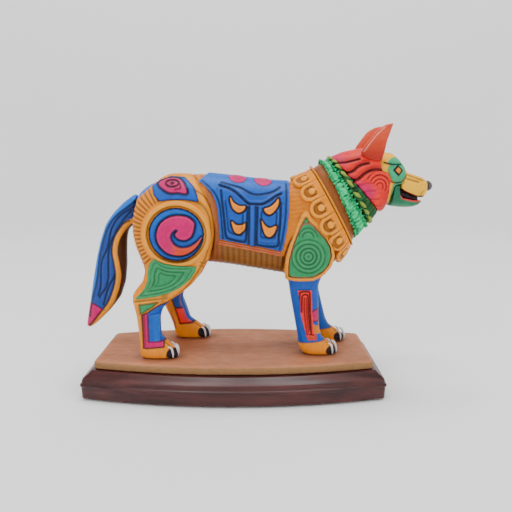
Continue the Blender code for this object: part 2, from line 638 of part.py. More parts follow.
def make_head():
    sides = ("right", "left")
    pegs = [ear_peg(side, GAP) for side in sides]
    skull = combined(loft(HEAD, 0, HEAD_SIDES), "DIFFERENCE", prism(MOUTH_CUT), neck_dowel(GAP), *pegs)
    piece("head", skull, GOLD, PAINT)
    jaw = combined(loft(JAW, 0, HEAD_SIDES), "INTERSECT", prism(JAW_OUTLINE))
    piece("lower_jaw", jaw, TEAL, PAINT)
    piece("nose", combined(loft(NOSE, 0, 10), "DIFFERENCE", loft(HEAD, GAP, HEAD_SIDES)), INK, 0.3)
    sockets = [loft(HEAD, GAP, HEAD_SIDES), loft(TORSO, GAP, BODY_SIDES), neck_dowel(GAP)]
    pegs = [ear_peg(side, GAP) for side in sides]
    hood = combined(hood_blank(), "DIFFERENCE", *sockets, *pegs)
    piece("hood", hood, RED, PAINT)
    for side in sides:
        shape = combined(ear(side), "DIFFERENCE", hood_blank(GAP), ear_peg(side, GAP))
        piece(f"ear_{side}", shape, RED, PAINT)
        piece(f"ear_peg_{side}", ear_peg(side), BEECH, 0.6)
    mask_outline = ellipse(MASK_CENTRE, (MASK_RADIUS, MASK_RADIUS), 16)
    mask = plate(mask_outline, HEAD, GAP, 1.2, HEAD_SIDES, -6)
    trimmed = combined(mask, "DIFFERENCE", hood_blank(GAP))
    both_sides("eye_mask", trimmed, TEAL)
    both_sides("eye", plate(EYE_OUTLINE, HEAD, 1.2 + GAP, 2.2, HEAD_SIDES, -6), AMBER, 0.2)


def main():
    for old in list(bpy.data.objects):
        bpy.data.objects.remove(old)
    make_base()
    make_legs()
    make_hip()
    make_shoulder()
    make_torso()
    make_saddle()
    make_collar()
    make_head()


main()
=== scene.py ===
"""Looks of a carved and painted wolf figurine on a moulded plinth.

Most CAD nodes are stood for by a fine copy of their own solid. Its points are coloured, cut and
raised by lines and zones drawn in the plane of the animal's flank, in millimetres.
"""

import math

import bmesh
import bpy
import numpy as np
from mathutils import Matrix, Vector, noise


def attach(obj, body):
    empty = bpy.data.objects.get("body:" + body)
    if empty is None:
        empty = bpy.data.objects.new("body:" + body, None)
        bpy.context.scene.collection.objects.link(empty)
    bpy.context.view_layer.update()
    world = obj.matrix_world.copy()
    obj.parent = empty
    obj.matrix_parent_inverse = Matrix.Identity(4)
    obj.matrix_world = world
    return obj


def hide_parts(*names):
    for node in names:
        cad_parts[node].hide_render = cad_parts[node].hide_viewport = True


MM = 0.001
SIDES = {"right": -1, "left": 1}
HIND_STEP = 22.0
FORE_STEP = 12.5
STEP_TOP = 108.0
FOOT_LEVEL = 31.0
REACH = 6.0

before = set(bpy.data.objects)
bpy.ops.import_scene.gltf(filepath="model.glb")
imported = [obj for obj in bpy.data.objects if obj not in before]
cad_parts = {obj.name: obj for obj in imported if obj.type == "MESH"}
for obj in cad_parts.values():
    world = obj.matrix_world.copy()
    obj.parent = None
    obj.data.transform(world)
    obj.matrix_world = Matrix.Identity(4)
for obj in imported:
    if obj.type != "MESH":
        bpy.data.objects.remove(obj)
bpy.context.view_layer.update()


# ---------------------------------------------------------------- colours

def colour(code):
    """Linear colour from a six-figure screen colour."""
    values = [int(code[start:start + 2], 16) / 255 for start in (0, 2, 4)]
    return np.array([v / 12.92 if v < 0.04045 else ((v + 0.055) / 1.055) ** 2.4 for v in values])


GOLD = np.array((0.8, 0.25, 0.004))
PALE_GOLD = np.array((0.82, 0.3, 0.012))
DEEP_GOLD = np.array((0.64, 0.19, 0.005))
AMBER = np.array((0.33, 0.095, 0.02))
SHADED_BELLY_GOLD = np.array((0.24, 0.09, 0.016))
BROWN = np.array((0.09, 0.03, 0.012))
BLUE = np.array((0.006, 0.08, 0.42))
BRIGHT_BLUE = np.array((0.006, 0.15, 0.62))
DEEP_BLUE = np.array((0.012, 0.055, 0.27))
TAIL_BLUE = np.array((0.014, 0.06, 0.3))
MAGENTA = np.array((0.56, 0.0015, 0.125))
CRIMSON = np.array((0.3, 0.01, 0.05))
ORANGE = np.array((0.6, 0.05, 0.014))
CORAL = np.array((0.55, 0.13, 0.045))
CRESCENT = np.array((0.86, 0.24, 0.004))
RED = np.array((0.84, 0.022, 0.012))
DEEP_RED = np.array((0.34, 0.008, 0.01))
GREEN = np.array((0.024, 0.26, 0.09))
PALE_GREEN = np.array((0.05, 0.36, 0.14))
RUFF = np.array((0.008, 0.62, 0.21))
MOSS = np.array((0.012, 0.1, 0.025))
LIME = np.array((0.3, 0.42, 0.06))
TEAL = np.array((0.03, 0.39, 0.18))
SEA_GREEN = np.array((0.014, 0.24, 0.1))
INK = np.array((0.008, 0.005, 0.012))
BONE = np.array((0.78, 0.74, 0.72))
TAN = np.array((0.47, 0.18, 0.085))
OLIVE = np.array((0.24, 0.12, 0.04))
FACE = np.array((0.96, 0.5, 0.015))
SHADOW = np.array((0.03, 0.01, 0.004))
DARK_MAHOGANY = np.array((0.03, 0.006, 0.006))
RED_MAHOGANY = np.array((0.085, 0.019, 0.017))


# ---------------------------------------------------------------- lines in the plane of the flank

def smooth_line(points, closed=False, spacing=0.7):
    """Even polyline through the points, rounded as a spline."""
    knots = np.array(points, float)
    count = len(knots)
    spans = count if closed else count - 1
    path = []
    for index in range(spans):
        if closed:
            near = [knots[(index + shift) % count] for shift in (-1, 0, 1, 2)]
        else:
            near = [knots[min(max(index + shift, 0), count - 1)] for shift in (-1, 0, 1, 2)]
        steps = max(1, int(np.hypot(*(near[2] - near[1])) / spacing))
        for t in np.arange(steps) / steps:
            before, start, end, after = near
            path.append(0.5 * (2 * start + (end - before) * t
                               + (2 * before - 5 * start + 4 * end - after) * t ** 2
                               + (3 * start - before - 3 * end + after) * t ** 3))
    path.append(knots[0] if closed else knots[-1])
    return np.array(path)


def ring(centre, radii, start=0.0, end=360.0):
    """Arc of an ellipse, anticlockwise between two angles."""
    angles = np.radians(np.linspace(start, end, max(8, int(abs(end - start) / 8))))
    return np.stack([centre[0] + radii[0] * np.cos(angles), centre[1] + radii[1] * np.sin(angles)], 1)


def scaled(outline, share, centre=None):
    """Outline shrunk towards its centre."""
    points = np.array(outline, float)
    middle = points.mean(0) if centre is None else np.array(centre)
    return middle + (points - middle) * share


def distance_to(line, x, z, reach=REACH):
    """Distance of each point from a polyline, or a large number beyond reach."""
    found = np.full(len(x), 99.0)
    low, high = line.min(0) - reach, line.max(0) + reach
    close = np.nonzero((x > low[0]) & (x < high[0]) & (z > low[1]) & (z < high[1]))[0]
    if not len(close):
        return found
    px, pz = x[close], z[close]
    best = np.full(len(close), 99.0)
    for (ax, az), (bx, bz) in zip(line[:-1], line[1:]):
        dx, dz = bx - ax, bz - az
        share = np.clip(((px - ax) * dx + (pz - az) * dz) / max(dx * dx + dz * dz, 1e-9), 0, 1)
        np.minimum(best, np.hypot(px - ax - share * dx, pz - az - share * dz), out=best)
    found[close] = best
    return found


def signed_distance(outline, x, z):
    """Distance from a closed polyline, below zero inside it."""
    loop = np.vstack([outline, outline[:1]])
    inside = np.zeros(len(x), bool)
    for (ax, az), (bx, bz) in zip(loop[:-1], loop[1:]):
        if az == bz:
            continue
        crosses = (az > z) != (bz > z)
        inside ^= crosses & (x < (bx - ax) * (z - az) / (bz - az) + ax)
    return np.where(inside, -1.0, 1.0) * distance_to(loop, x, z)


def ramp(values, low, high):
    """0 below low, 1 above high, smooth between them."""
    share = np.clip((values - low) / (high - low), 0, 1)
    return share * share * (3 - 2 * share)


# ---------------------------------------------------------------- carving a node's solid

def fine_mesh(node, cell):
    """Even quad mesh of a node's solid."""
    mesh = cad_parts[node].data.copy()
    shape = bmesh.new()
    shape.from_mesh(mesh)
    bmesh.ops.remove_doubles(shape, verts=shape.verts, dist=2e-6)
    shape.to_mesh(mesh)
    shape.free()
    body = bpy.data.objects.new("remesh", mesh)
    bpy.context.scene.collection.objects.link(body)
    modifier = body.modifiers.new("remesh", "REMESH")
    modifier.mode = "VOXEL"
    modifier.voxel_size = cell * MM
    body.update_tag()
    depsgraph = bpy.context.evaluated_depsgraph_get()
    made = bpy.data.meshes.new_from_object(body.evaluated_get(depsgraph))
    bpy.data.objects.remove(body)
    return made


class Carving:
    """Fine copy of a node that can be smoothed, coloured, cut and raised.

    x and z are in the flank's plane, where the left legs, which stand further forward, are moved
    back to match the right ones. depth is the distance from the middle plane, and out is 1 where
    the surface faces away from that plane.
    """

    def __init__(self, node, cell, base, step=0.0, rounds=8):
        self.node = node
        self.mesh = fine_mesh(node, cell)
        count = len(self.mesh.vertices)
        points = np.empty(count * 3)
        self.mesh.vertices.foreach_get("co", points)
        self.points = points.reshape(-1, 3) / MM
        ends = np.empty(len(self.mesh.edges) * 2, np.int32)
        self.mesh.edges.foreach_get("vertices", ends)
        self.first, self.second = ends.reshape(-1, 2).T
        self.degree = np.bincount(self.first, minlength=count) + np.bincount(self.second, minlength=count)
        self.step = step
        self.paint = np.tile(base, (count, 1))
        self.dark = np.zeros(count)
        self.light = np.zeros(count)
        self.lift = np.zeros(count)
        self.where = np.ones(count)
        self.relax(rounds)
        self.measure()

    def neighbour_mean(self, values):
        count = len(self.degree)
        total = (np.bincount(self.first, values[self.second], count)
                 + np.bincount(self.second, values[self.first], count))
        return total / self.degree

    def relax(self, rounds, mask=1.0):
        """Smooth the surface; mask says where."""
        for _ in range(rounds):
            mean = np.stack([self.neighbour_mean(self.points[:, axis]) for axis in range(3)], 1)
            share = 0.5 * (mask[:, None] if isinstance(mask, np.ndarray) else mask)
            self.points += (mean - self.points) * share

    def measure(self):
        """Refresh the normals and the coordinates that patterns use."""
        self.mesh.vertices.foreach_set("co", (self.points * MM).ravel())
        self.mesh.update()
        normals = np.empty(len(self.points) * 3)
        self.mesh.vertices.foreach_get("normal", normals)
        self.normals = normals.reshape(-1, 3)
        self.y = self.points[:, 1]
        self.side = np.where(self.y < 0, -1, 1)
        height = self.points[:, 2]
        share = np.clip((STEP_TOP - height) / (STEP_TOP - FOOT_LEVEL), 0, 1)
        left = self.y > 0
        self.x = self.points[:, 0] - np.where(left, self.step_at(height, share), 0)
        self.z = height
        self.depth = np.abs(self.y)
        self.out = ramp(self.normals[:, 1] * self.side, 0.0, 0.3)

    def step_at(self, height, share):
        return self.step * share

    def fill(self, mask, paint):
        share = np.clip(mask * self.where, 0, 1)[:, None]
        self.paint += (paint - self.paint) * share

    def near(self, line, width, soft=0.35):
        """1 within width of a line."""
        return 1 - ramp(distance_to(line, self.x, self.z), width - soft, width + soft)

    def inside(self, outline, soft=0.3):
        return 1 - ramp(signed_distance(outline, self.x, self.z), -soft, soft)

    def cut(self, line, width, depth, dark=0.7):
        """Groove along a line, with paint lying dark in it."""
        gap = distance_to(line, self.x, self.z)
        groove = np.exp(-(gap / width) ** 2) * self.where
        stain = np.clip(2.0 * np.exp(-(gap / (width * 1.3)) ** 2), 0, 1) * self.where
        self.lift -= depth * groove
        self.dark = np.maximum(self.dark, np.clip(dark * 1.15, 0, 1) * stain)

    def swell(self, line, width, height, light=0.3):
        """Rounded ridge along a line, with a painted highlight along its crest."""
        gap = distance_to(line, self.x, self.z)
        ridge = np.exp(-(gap / width) ** 2) * self.where
        self.lift += height * ridge
        self.light = np.maximum(self.light, light * ridge)

    def outline(self, loop, width=0.5, dark=0.8, depth=0.25):
        self.cut(np.vstack([loop, loop[:1]]), width, depth, dark)

    def raise_inside(self, loop, height, soft=0.6):
        share = 1 - ramp(signed_distance(loop, self.x, self.z), -soft, soft * 0.3)
        self.lift += height * share * self.where

    def cavity_shade_and_edge_highlight(self):
        """Dark wash and painted shade in hollows, rubbed wear and painted highlight on edges, from the
        curvature of the surface.
        """
        mean = np.stack([self.neighbour_mean(self.points[:, axis]) for axis in range(3)], 1)
        bend = np.einsum("ij,ij->i", mean - self.points, self.normals)
        for _ in range(3):
            bend = self.neighbour_mean(bend)
        scale = 0.018
        # Concave places get dark wash and painted shade; convex edges get rubbed wear and a painted
        # highlight.
        self.dark = np.maximum(self.dark, 0.75 * np.clip(bend / scale - 0.25, 0, 1))
        self.light = np.maximum(self.light, 0.4 * np.clip(-bend / scale - 0.4, 0, 1))

    def finish(self, name, finish, slot, replaces=None):
        """Write the carved surface and its paint to a piece that stands for the node."""
        self.points += self.normals * self.lift[:, None]
        self.relax(1)
        self.measure()
        self.cavity_shade_and_edge_highlight()
        # One attribute carries dark line paint and painted shade, the other rubbed wear and painted
        # highlights.
        for label, values in (("dark_paint_and_shade", self.dark), ("rub_and_highlight", self.light)):
            layer = self.mesh.attributes.new(label, "FLOAT", "POINT")
            layer.data.foreach_set("value", np.clip(values, 0, 1).astype(np.float32))
        layer = self.mesh.attributes.new("paint", "FLOAT_COLOR", "POINT")
        rgba = np.ones((len(self.points), 4), np.float32)
        rgba[:, :3] = np.clip(self.paint, 0, 1)
        layer.data.foreach_set("color", rgba.ravel())
        return add_piece(name, self.mesh, finish, replaces or [self.node])


def add_piece(name, mesh, finish, replaces=()):
    mesh.name = name
    mesh.materials.clear()
    mesh.materials.append(finish)
    mesh.shade_smooth()
    body = bpy.data.objects.new(name, mesh)
    bpy.context.scene.collection.objects.link(body)
    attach(body, "root")
    if replaces:
        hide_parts(*replaces)
    return body


# ---------------------------------------------------------------- materials

def new_material(name):
    finish = bpy.data.materials.new(name)
    finish.use_nodes = True
    tree = finish.node_tree
    return finish, tree, tree.nodes["Principled BSDF"]


def add_node(tree, kind, **settings):
    node = tree.nodes.new(kind)
    for key, value in settings.items():
        if key in node.inputs:
            node.inputs[key].default_value = value
        else:
            setattr(node, key, value)
    return node


def noise_node(tree, scale, detail, stretch=(1, 1, 1), roughness=0.55):
    """Noise over the object's own coordinates."""
    place = add_node(tree, "ShaderNodeTexCoord")
    mapping = add_node(tree, "ShaderNodeMapping")
    mapping.inputs["Scale"].default_value = stretch
    tree.links.new(place.outputs["Object"], mapping.inputs["Vector"])
    speckle = add_node(tree, "ShaderNodeTexNoise", Scale=scale, Detail=detail, Roughness=roughness)
    tree.links.new(mapping.outputs["Vector"], speckle.inputs["Vector"])
    return speckle.outputs["Fac"]


def curve_node(tree, source, low, high, out_low=0.0, out_high=1.0):
    node = add_node(tree, "ShaderNodeMapRange")
    node.inputs["From Min"].default_value = low
    node.inputs["From Max"].default_value = high
    node.inputs["To Min"].default_value = out_low
    node.inputs["To Max"].default_value = out_high
    tree.links.new(source, node.inputs["Value"])
    return node.outputs["Result"]


def mix_node(tree, share, first, second, blend="MIX"):
    """Mix of two colours; each input is a link or a constant."""
    node = tree.nodes.new("ShaderNodeMix")
    node.data_type = "RGBA"
    node.blend_type = blend
    for socket, value in ((node.inputs[0], share), (node.inputs[6], first), (node.inputs[7], second)):
        if isinstance(value, bpy.types.NodeSocket):
            tree.links.new(value, socket)
        elif isinstance(value, (int, float)):
            socket.default_value = value
        else:
            socket.default_value = (*value, 1.0)
    return node.outputs[2]


def multiply_node(tree, first, second):
    node = tree.nodes.new("ShaderNodeMath")
    node.operation = "MULTIPLY"
    for socket, value in zip(node.inputs, (first, second)):
        if isinstance(value, bpy.types.NodeSocket):
            tree.links.new(value, socket)
        else:
            socket.default_value = value
    return node.outputs[0]


def bump_node(tree, source, distance, strength=1.0, chain=None):
    node = add_node(tree, "ShaderNodeBump", Strength=strength, Distance=distance)
    tree.links.new(source, node.inputs["Height"])
    if chain is not None:
        tree.links.new(chain, node.inputs["Normal"])
    return node.outputs["Normal"]


def painted_wood(name, stretch, gloss=0.42, dark_paint_and_shade=SHADOW, streak=0.07, coat=0.03):
    """Hand-brushed paint over carved wood: streaks along the brush, dark line paint, dark wash and painted
    shade in hollows, rubbed wear and painted highlights on edges.
    """
    finish, tree, shader = new_material(name)
    paint = add_node(tree, "ShaderNodeAttribute", attribute_name="paint").outputs["Color"]
    hollow = add_node(tree, "ShaderNodeAttribute", attribute_name="dark_paint_and_shade").outputs["Fac"]
    rub_and_highlight_share = add_node(tree, "ShaderNodeAttribute", attribute_name="rub_and_highlight").outputs["Fac"]
    streaks = noise_node(tree, 420, 3, stretch)
    clouds = noise_node(tree, 70, 4)
    grain = noise_node(tree, 1500, 2, stretch, 0.7)
    darker = mix_node(tree, 1.0, paint, (1 - streak * 1.7,) * 3, "MULTIPLY")
    lighter = mix_node(tree, 1.0, paint, (1 + streak,) * 3, "MULTIPLY")
    brushed = mix_node(tree, curve_node(tree, streaks, 0.33, 0.67), darker, lighter)
    thin = mix_node(tree, 1.0, paint, (0.72, 0.68, 0.66), "MULTIPLY")
    patchy = mix_node(tree, curve_node(tree, clouds, 0.35, 0.7, 0.0, streak * 2.2), brushed, thin)
    bright = mix_node(tree, 1.0, paint, (1.3, 1.35, 1.4), "MULTIPLY")
    # Rubbed wear and painted highlights lighten the paint; dark line paint and painted shade darken it.
    highlighted = mix_node(tree, multiply_node(tree, rub_and_highlight_share, 0.5), patchy,
                      mix_node(tree, 0.08, bright, (0.9, 0.8, 0.66)))
    darkening = multiply_node(tree, hollow, curve_node(tree, grain, 0.3, 0.6, 0.72, 1.0))
    darkened = mix_node(tree, darkening, highlighted, dark_paint_and_shade)
    tree.links.new(darkened, shader.inputs["Base Color"])
    roughness = curve_node(tree, clouds, 0.3, 0.7, gloss - 0.07, gloss + 0.12)
    tree.links.new(roughness, shader.inputs["Roughness"])
    fine = bump_node(tree, grain, 0.00008, 0.7)
    tree.links.new(bump_node(tree, streaks, 0.0002, 0.6, fine), shader.inputs["Normal"])
    shader.inputs["Specular IOR Level"].default_value = 0.17
    shader.inputs["Coat Weight"].default_value = coat
    shader.inputs["Coat Roughness"].default_value = 0.3
    return finish


def mahogany():
    """Dark red wood under gloss varnish."""
    finish, tree, shader = new_material("mahogany_varnish")
    grain = noise_node(tree, 90, 6, (0.12, 2.2, 2.2), 0.6)
    pores = noise_node(tree, 900, 2, (0.06, 1.4, 1.4), 0.6)
    base = mix_node(tree, curve_node(tree, grain, 0.35, 0.68), DARK_MAHOGANY, RED_MAHOGANY)
    pored = mix_node(tree, curve_node(tree, pores, 0.58, 0.7, 0.0, 0.3), base, colour("0E0506"))
    tree.links.new(pored, shader.inputs["Base Color"])
    tree.links.new(curve_node(tree, grain, 0.3, 0.7, 0.3, 0.42), shader.inputs["Roughness"])
    tree.links.new(bump_node(tree, pores, 0.00004, 0.5), shader.inputs["Normal"])
    shader.inputs["Specular IOR Level"].default_value = 0.3
    shader.inputs["Coat Weight"].default_value = 0.12
    shader.inputs["Coat Roughness"].default_value = 0.14
    return finish


def gloss_paint(name, spot, coat=0.8):
    """Hard shiny paint for the nose."""
    finish, tree, shader = new_material(name)
    clouds = noise_node(tree, 300, 3)
    base = mix_node(tree, curve_node(tree, clouds, 0.35, 0.65), spot * 0.6, spot * 1.3)
    tree.links.new(base, shader.inputs["Base Color"])
    tree.links.new(curve_node(tree, clouds, 0.3, 0.7, 0.2, 0.34), shader.inputs["Roughness"])
    tree.links.new(bump_node(tree, noise_node(tree, 1400, 2), 0.00008, 0.6), shader.inputs["Normal"])
    shader.inputs["Coat Weight"].default_value = coat
    shader.inputs["Coat Roughness"].default_value = 0.12
    return finish


def bare_beech():
    finish, tree, shader = new_material("bare_beech")
    grain = noise_node(tree, 260, 5, (0.3, 2.5, 2.5))
    base = mix_node(tree, curve_node(tree, grain, 0.35, 0.65), colour("B98D5C"), colour("D8B384"))
    tree.links.new(base, shader.inputs["Base Color"])
    tree.links.new(curve_node(tree, grain, 0.3, 0.7, 0.55, 0.75), shader.inputs["Roughness"])
    tree.links.new(bump_node(tree, grain, 0.0001, 0.5), shader.inputs["Normal"])
    return finish


def zinc_steel():
    finish, tree, shader = new_material("zinc_steel")
    spangle = noise_node(tree, 800, 3)
    base = mix_node(tree, curve_node(tree, spangle, 0.35, 0.65), colour("8F9294"), colour("C2C4C4"))
    tree.links.new(base, shader.inputs["Base Color"])
    tree.links.new(curve_node(tree, spangle, 0.3, 0.7, 0.25, 0.45), shader.inputs["Roughness"])
    tree.links.new(bump_node(tree, spangle, 0.00003, 0.5), shader.inputs["Normal"])
    shader.inputs["Metallic"].default_value = 1.0
    return finish


def green_felt():
    finish, tree, shader = new_material("green_felt")
    fibres = noise_node(tree, 1600, 4, (1, 1, 1), 0.8)
    base = mix_node(tree, curve_node(tree, fibres, 0.3, 0.7), colour("12281B"), colour("2C4A36"))
    tree.links.new(base, shader.inputs["Base Color"])
    tree.links.new(bump_node(tree, fibres, 0.0003, 0.8), shader.inputs["Normal"])
    shader.inputs["Roughness"].default_value = 0.95
    shader.inputs["Sheen Weight"].default_value = 0.3
    return finish


ALONG = (0.35, 1.0, 1.6)
UPRIGHT = (1.5, 1.2, 0.35)
DIAGONAL = (0.8, 1.2, 0.7)

GOLD_PAINT = painted_wood("gold_paint", ALONG, 0.4)
LEG_PAINT = painted_wood("leg_paint", UPRIGHT, 0.4)
BLUE_PAINT = painted_wood("blue_paint", DIAGONAL, 0.4, colour("04060F"))
GREEN_PAINT = painted_wood("green_paint", DIAGONAL, 0.45, colour("06200E"), 0.08)
RED_PAINT = painted_wood("red_paint", ALONG, 0.42, colour("240406"), 0.07)
TEAL_PAINT = painted_wood("teal_paint", DIAGONAL, 0.42, colour("051C18"), 0.06)
FACE_PAINT = painted_wood("face_paint", ALONG, 0.42, colour("2A1004"), 0.06)
MOSS_PAINT = painted_wood("moss_paint", DIAGONAL, 0.6, colour("02120A"), 0.2, 0.0)
EARTH_PAINT = painted_wood("earth_paint", (0.3, 1.0, 1.0), 0.55, colour("2A150C"), 0.09, 0.0)
CLAW_PAINT = painted_wood("claw_paint", UPRIGHT, 0.35, colour("100C10"), 0.05, 0.3)
MAHOGANY = mahogany()
NOSE_GLOSS = gloss_paint("nose_gloss", INK * 1.6)


# ---------------------------------------------------------------- outlines, in millimetres

HIP_CENTRE = (-45.4, 135.3)
HIP_DISC = (22.6, 21.8)
HIP_SPIRAL = (
    (-30.5, 142.7), (-32, 146.8), (-37, 149.8), (-44.1, 150.6), (-51.5, 149), (-58, 144), (-61, 136.2),
    (-60, 128.6), (-54, 121.2), (-46, 118.4), (-37.4, 119.4), (-29.6, 124.6), (-24.2, 133.4),
    (-28.8, 129.4), (-35, 125.6), (-41.8, 124.8), (-47, 127.4), (-49.8, 132.5), (-48.8, 136.6),
    (-45.6, 139.6), (-44.2, 138.4), (-46.2, 135.4), (-43.6, 132.2), (-38.1, 131.2), (-33, 134.4))
HAUNCH_BAND = (
    (-40, 180.2), (-32, 175.8), (-25.8, 166.5), (-22.2, 157), (-20.6, 146), (-21, 134), (-23.6, 122),
    (-27.6, 111.5), (-31, 104), (-37.6, 96.6), (-46, 90), (-56, 84.6), (-68, 80.6), (-81, 78.4))
RUMP_LOBE = (
    (-66.2, 173.4), (-60, 178.6), (-51, 181.8), (-39, 181), (-31.5, 173.4), (-28.4, 167), (-27, 160.9),
    (-39, 162.6), (-50, 162.6), (-58.4, 161.4), (-63.4, 166))
RUMP_SPIRAL = (
    (-60.2, 175.6), (-53, 179.4), (-44, 179.2), (-39, 174.4), (-36.8, 167.9), (-44, 168.6), (-50.2, 168.4),
    (-56.4, 171.4))
THIGH_PANEL = (
    (-64.5, 115.6), (-57, 112), (-47.2, 110), (-29.4, 109), (-31.4, 103.4), (-35, 98), (-43.9, 90.8),
    (-53, 86.8), (-62.1, 84.2), (-72, 82.6), (-82, 81.4), (-76.4, 86.2), (-73, 90.6), (-70.6, 97),
    (-70.4, 104), (-68.6, 110.6))
THIGH_TRIANGLE = ((-77.4, 77), (-62, 79.2), (-66.6, 75), (-76.8, 69))
TEARDROP = (
    (58.8, 148.2), (61.6, 144.6), (68, 138), (75, 130.6), (78.8, 123.6), (79.6, 117), (77.6, 110),
    (72.4, 104), (65, 100.2), (55, 99.8), (46.2, 100.2), (45.8, 108), (46.8, 116), (49.6, 126.6),
    (53.8, 138))
RING_CENTRE = (61.0, 117.2)
SADDLE_LOW = ((-11.2, 130.2), (40, 120.4))
SADDLE_REAR = (
    (-28, 178), (-21.5, 172.4), (-17, 167.6), (-13.8, 161), (-12.3, 153), (-11.4, 142), (-10.9, 130.6))
SADDLE_FRONT = ((40.1, 120.7), (42.2, 130), (44.2, 142), (45.4, 155), (46, 175))
CRESCENTS = (
    ((-2.2, 164.9), (0.2, 161), (5.4, 157.9), (10.4, 157.6), (8.8, 154), (4.5, 152.4), (0.1, 155.6),
     (-2, 161)),
    ((37, 163.6), (34, 160.4), (29.7, 157), (24.9, 155.4), (26.2, 152.2), (29.7, 150.8), (34, 154),
     (37, 159.2)),
    ((-1.3, 145.6), (1.8, 143.4), (4.4, 142.6), (7.9, 143), (10.3, 144), (9.6, 139.1), (5.2, 135.2),
     (0.9, 137.4)),
    ((22.6, 146.6), (25.4, 143), (29.7, 140.4), (35.4, 142), (34.1, 136.5), (29.8, 132.6), (25.4, 135.6)))
TAIL_EDGE = (
    (-86, 143.5), (-91.2, 140.5), (-98.6, 129.5), (-101.3, 117.7), (-100.1, 106.2), (-99.7, 95.4),
    (-102.5, 83.9), (-107.4, 72.8), (-115, 62.7), (-123.6, 52.4), (-130, 47))
TAIL_TOP = (
    (-80, 163), (-85.3, 158.4), (-103.7, 142.9), (-113.4, 118.9), (-118.2, 92.7), (-123.5, 75), (-127, 60))
MASK_CENTRE = (133.4, 184.9)
EYE_CENTRE = (133.9, 185.9)


# ---------------------------------------------------------------- hind quarters

def fan_grooves(carving, low=112, high=226, spacing=5.8, inner=28.6):
    """Radial grooves behind the hip disc."""
    dx = carving.x - HIP_CENTRE[0]
    dz = carving.z - HIP_CENTRE[1]
    radius = np.hypot(dx, dz)
    angle = np.degrees(np.arctan2(dz, dx)) % 360
    turn = (angle - low) / spacing
    off = np.abs(turn - np.round(turn)) * np.radians(spacing) * radius
    sector = ramp(angle, low - 2, low + 1) * (1 - ramp(angle, high - 1, high + 2))
    zone = ramp(radius, inner, inner + 1.5) * sector
    groove = np.exp(-(off / 0.7) ** 2) * zone
    carving.lift -= 0.75 * groove
    carving.dark = np.maximum(carving.dark, 0.85 * groove)
    carving.fill(zone * 0.5, DEEP_GOLD * 1.1)


def toe_marks(carving, front, centre, reach=2.6):
    """Black gaps between the claws, and grooves that part the toes."""
    local = carving.depth - centre
    ahead = carving.x - front
    rounding = 4.2 * (local / 6.2) ** 2
    toes = ramp(ahead + rounding, -reach - 0.4, -reach + 0.4) * (1 - ramp(carving.z, 41.6, 42.6))
    carving.fill(toes, INK)
    for gap in (-4.2, 0.0, 4.2):
        groove = np.exp(-((local - gap) / 0.7) ** 2) * ramp(ahead, -16, -9) * ramp(carving.z, 35, 38)
        carving.lift -= 0.6 * groove
        carving.dark = np.maximum(carving.dark, 0.7 * groove)


def hind_leg(side):
    leg = Carving(f"hind_leg_{side}", 0.6, GOLD, HIND_STEP, 40)
    outer = ramp(leg.depth, 20, 22)
    upper = ramp(leg.z, 84, 88)
    fan_grooves(leg)
    leg.where = np.maximum(leg.out, 1 - upper)
    band = smooth_line(HAUNCH_BAND)
    leg.fill(leg.near(band, 3.2), PALE_GOLD)
    leg.swell(band, 2.6, 0.9, 0.5)
    leg.where = outer
    leg.fill(leg.inside(np.array(THIGH_TRIANGLE)), GREEN)
    leg.outline(np.array(THIGH_TRIANGLE), 0.55, 0.6, 0.4)
    leg.cut(smooth_line(((-80.5, 79.6), (-66, 81.6), (-54.9, 82.6))), 0.5, 0.4, 0.6)
    leg.cut(smooth_line(((-26.5, 112.6), (-24.4, 110.6), (-22, 112.4))), 0.5, 0.4, 0.5)
    leg.cut(smooth_line(((-27.5, 109.5), (-24.6, 107.6))), 0.5, 0.4, 0.5)
    shank = np.array(((-75.4, 68.4), (-70, 71), (-62, 76), (-50, 80), (-50, 46.6), (-57.8, 46.6),
                      (-57.6, 41.6), (-75, 40.2)))
    corner = np.array(((-75.4, 68.6), (-70.3, 71), (-70.3, 46.4), (-57.6, 46.6), (-57.6, 41.6),
                       (-75, 40.2)))
    rear_strip = np.array(((-75.4, 68.6), (-72.6, 70), (-72.6, 42.6), (-75, 40.2)))
    leg.fill(leg.inside(shank), BLUE)
    leg.fill(leg.inside(corner), MAGENTA)
    leg.fill(leg.inside(rear_strip), CRIMSON)
    leg.outline(shank, 0.45, 0.85, 0.3)
    leg.cut(np.array(((-70.5, 70.5), (-70.4, 46.2), (-58, 46.4))), 0.4, 0.25, 0.7)
    leg.where = 1 - outer
    inner_front = ramp(leg.x, -70.5, -69.5)
    shin = (1 - ramp(leg.z, 79, 80)) * ramp(leg.z, 44.6, 45.4)
    leg.fill(inner_front * shin, DEEP_BLUE)
    leg.fill(inner_front * shin * (1 - ramp(leg.z, 59.4, 60.2)), RED)
    for level in (45, 59.8):
        leg.cut(np.array(((-70, level), (-55, level + 1))), 0.5, 0.3, 0.85)
    leg.cut(np.array(((-70, 80), (-70, 45))), 0.5, 0.3, 0.85)
    leg.fill((1 - inner_front) * 0.5 * ramp(leg.z, 46, 60), AMBER)
    leg.where = np.ones(len(leg.z))
    toe_marks(leg, -46.5, 26.5)
    return leg.finish(f"carved_hind_leg_{side}", LEG_PAINT, "gold_paint")


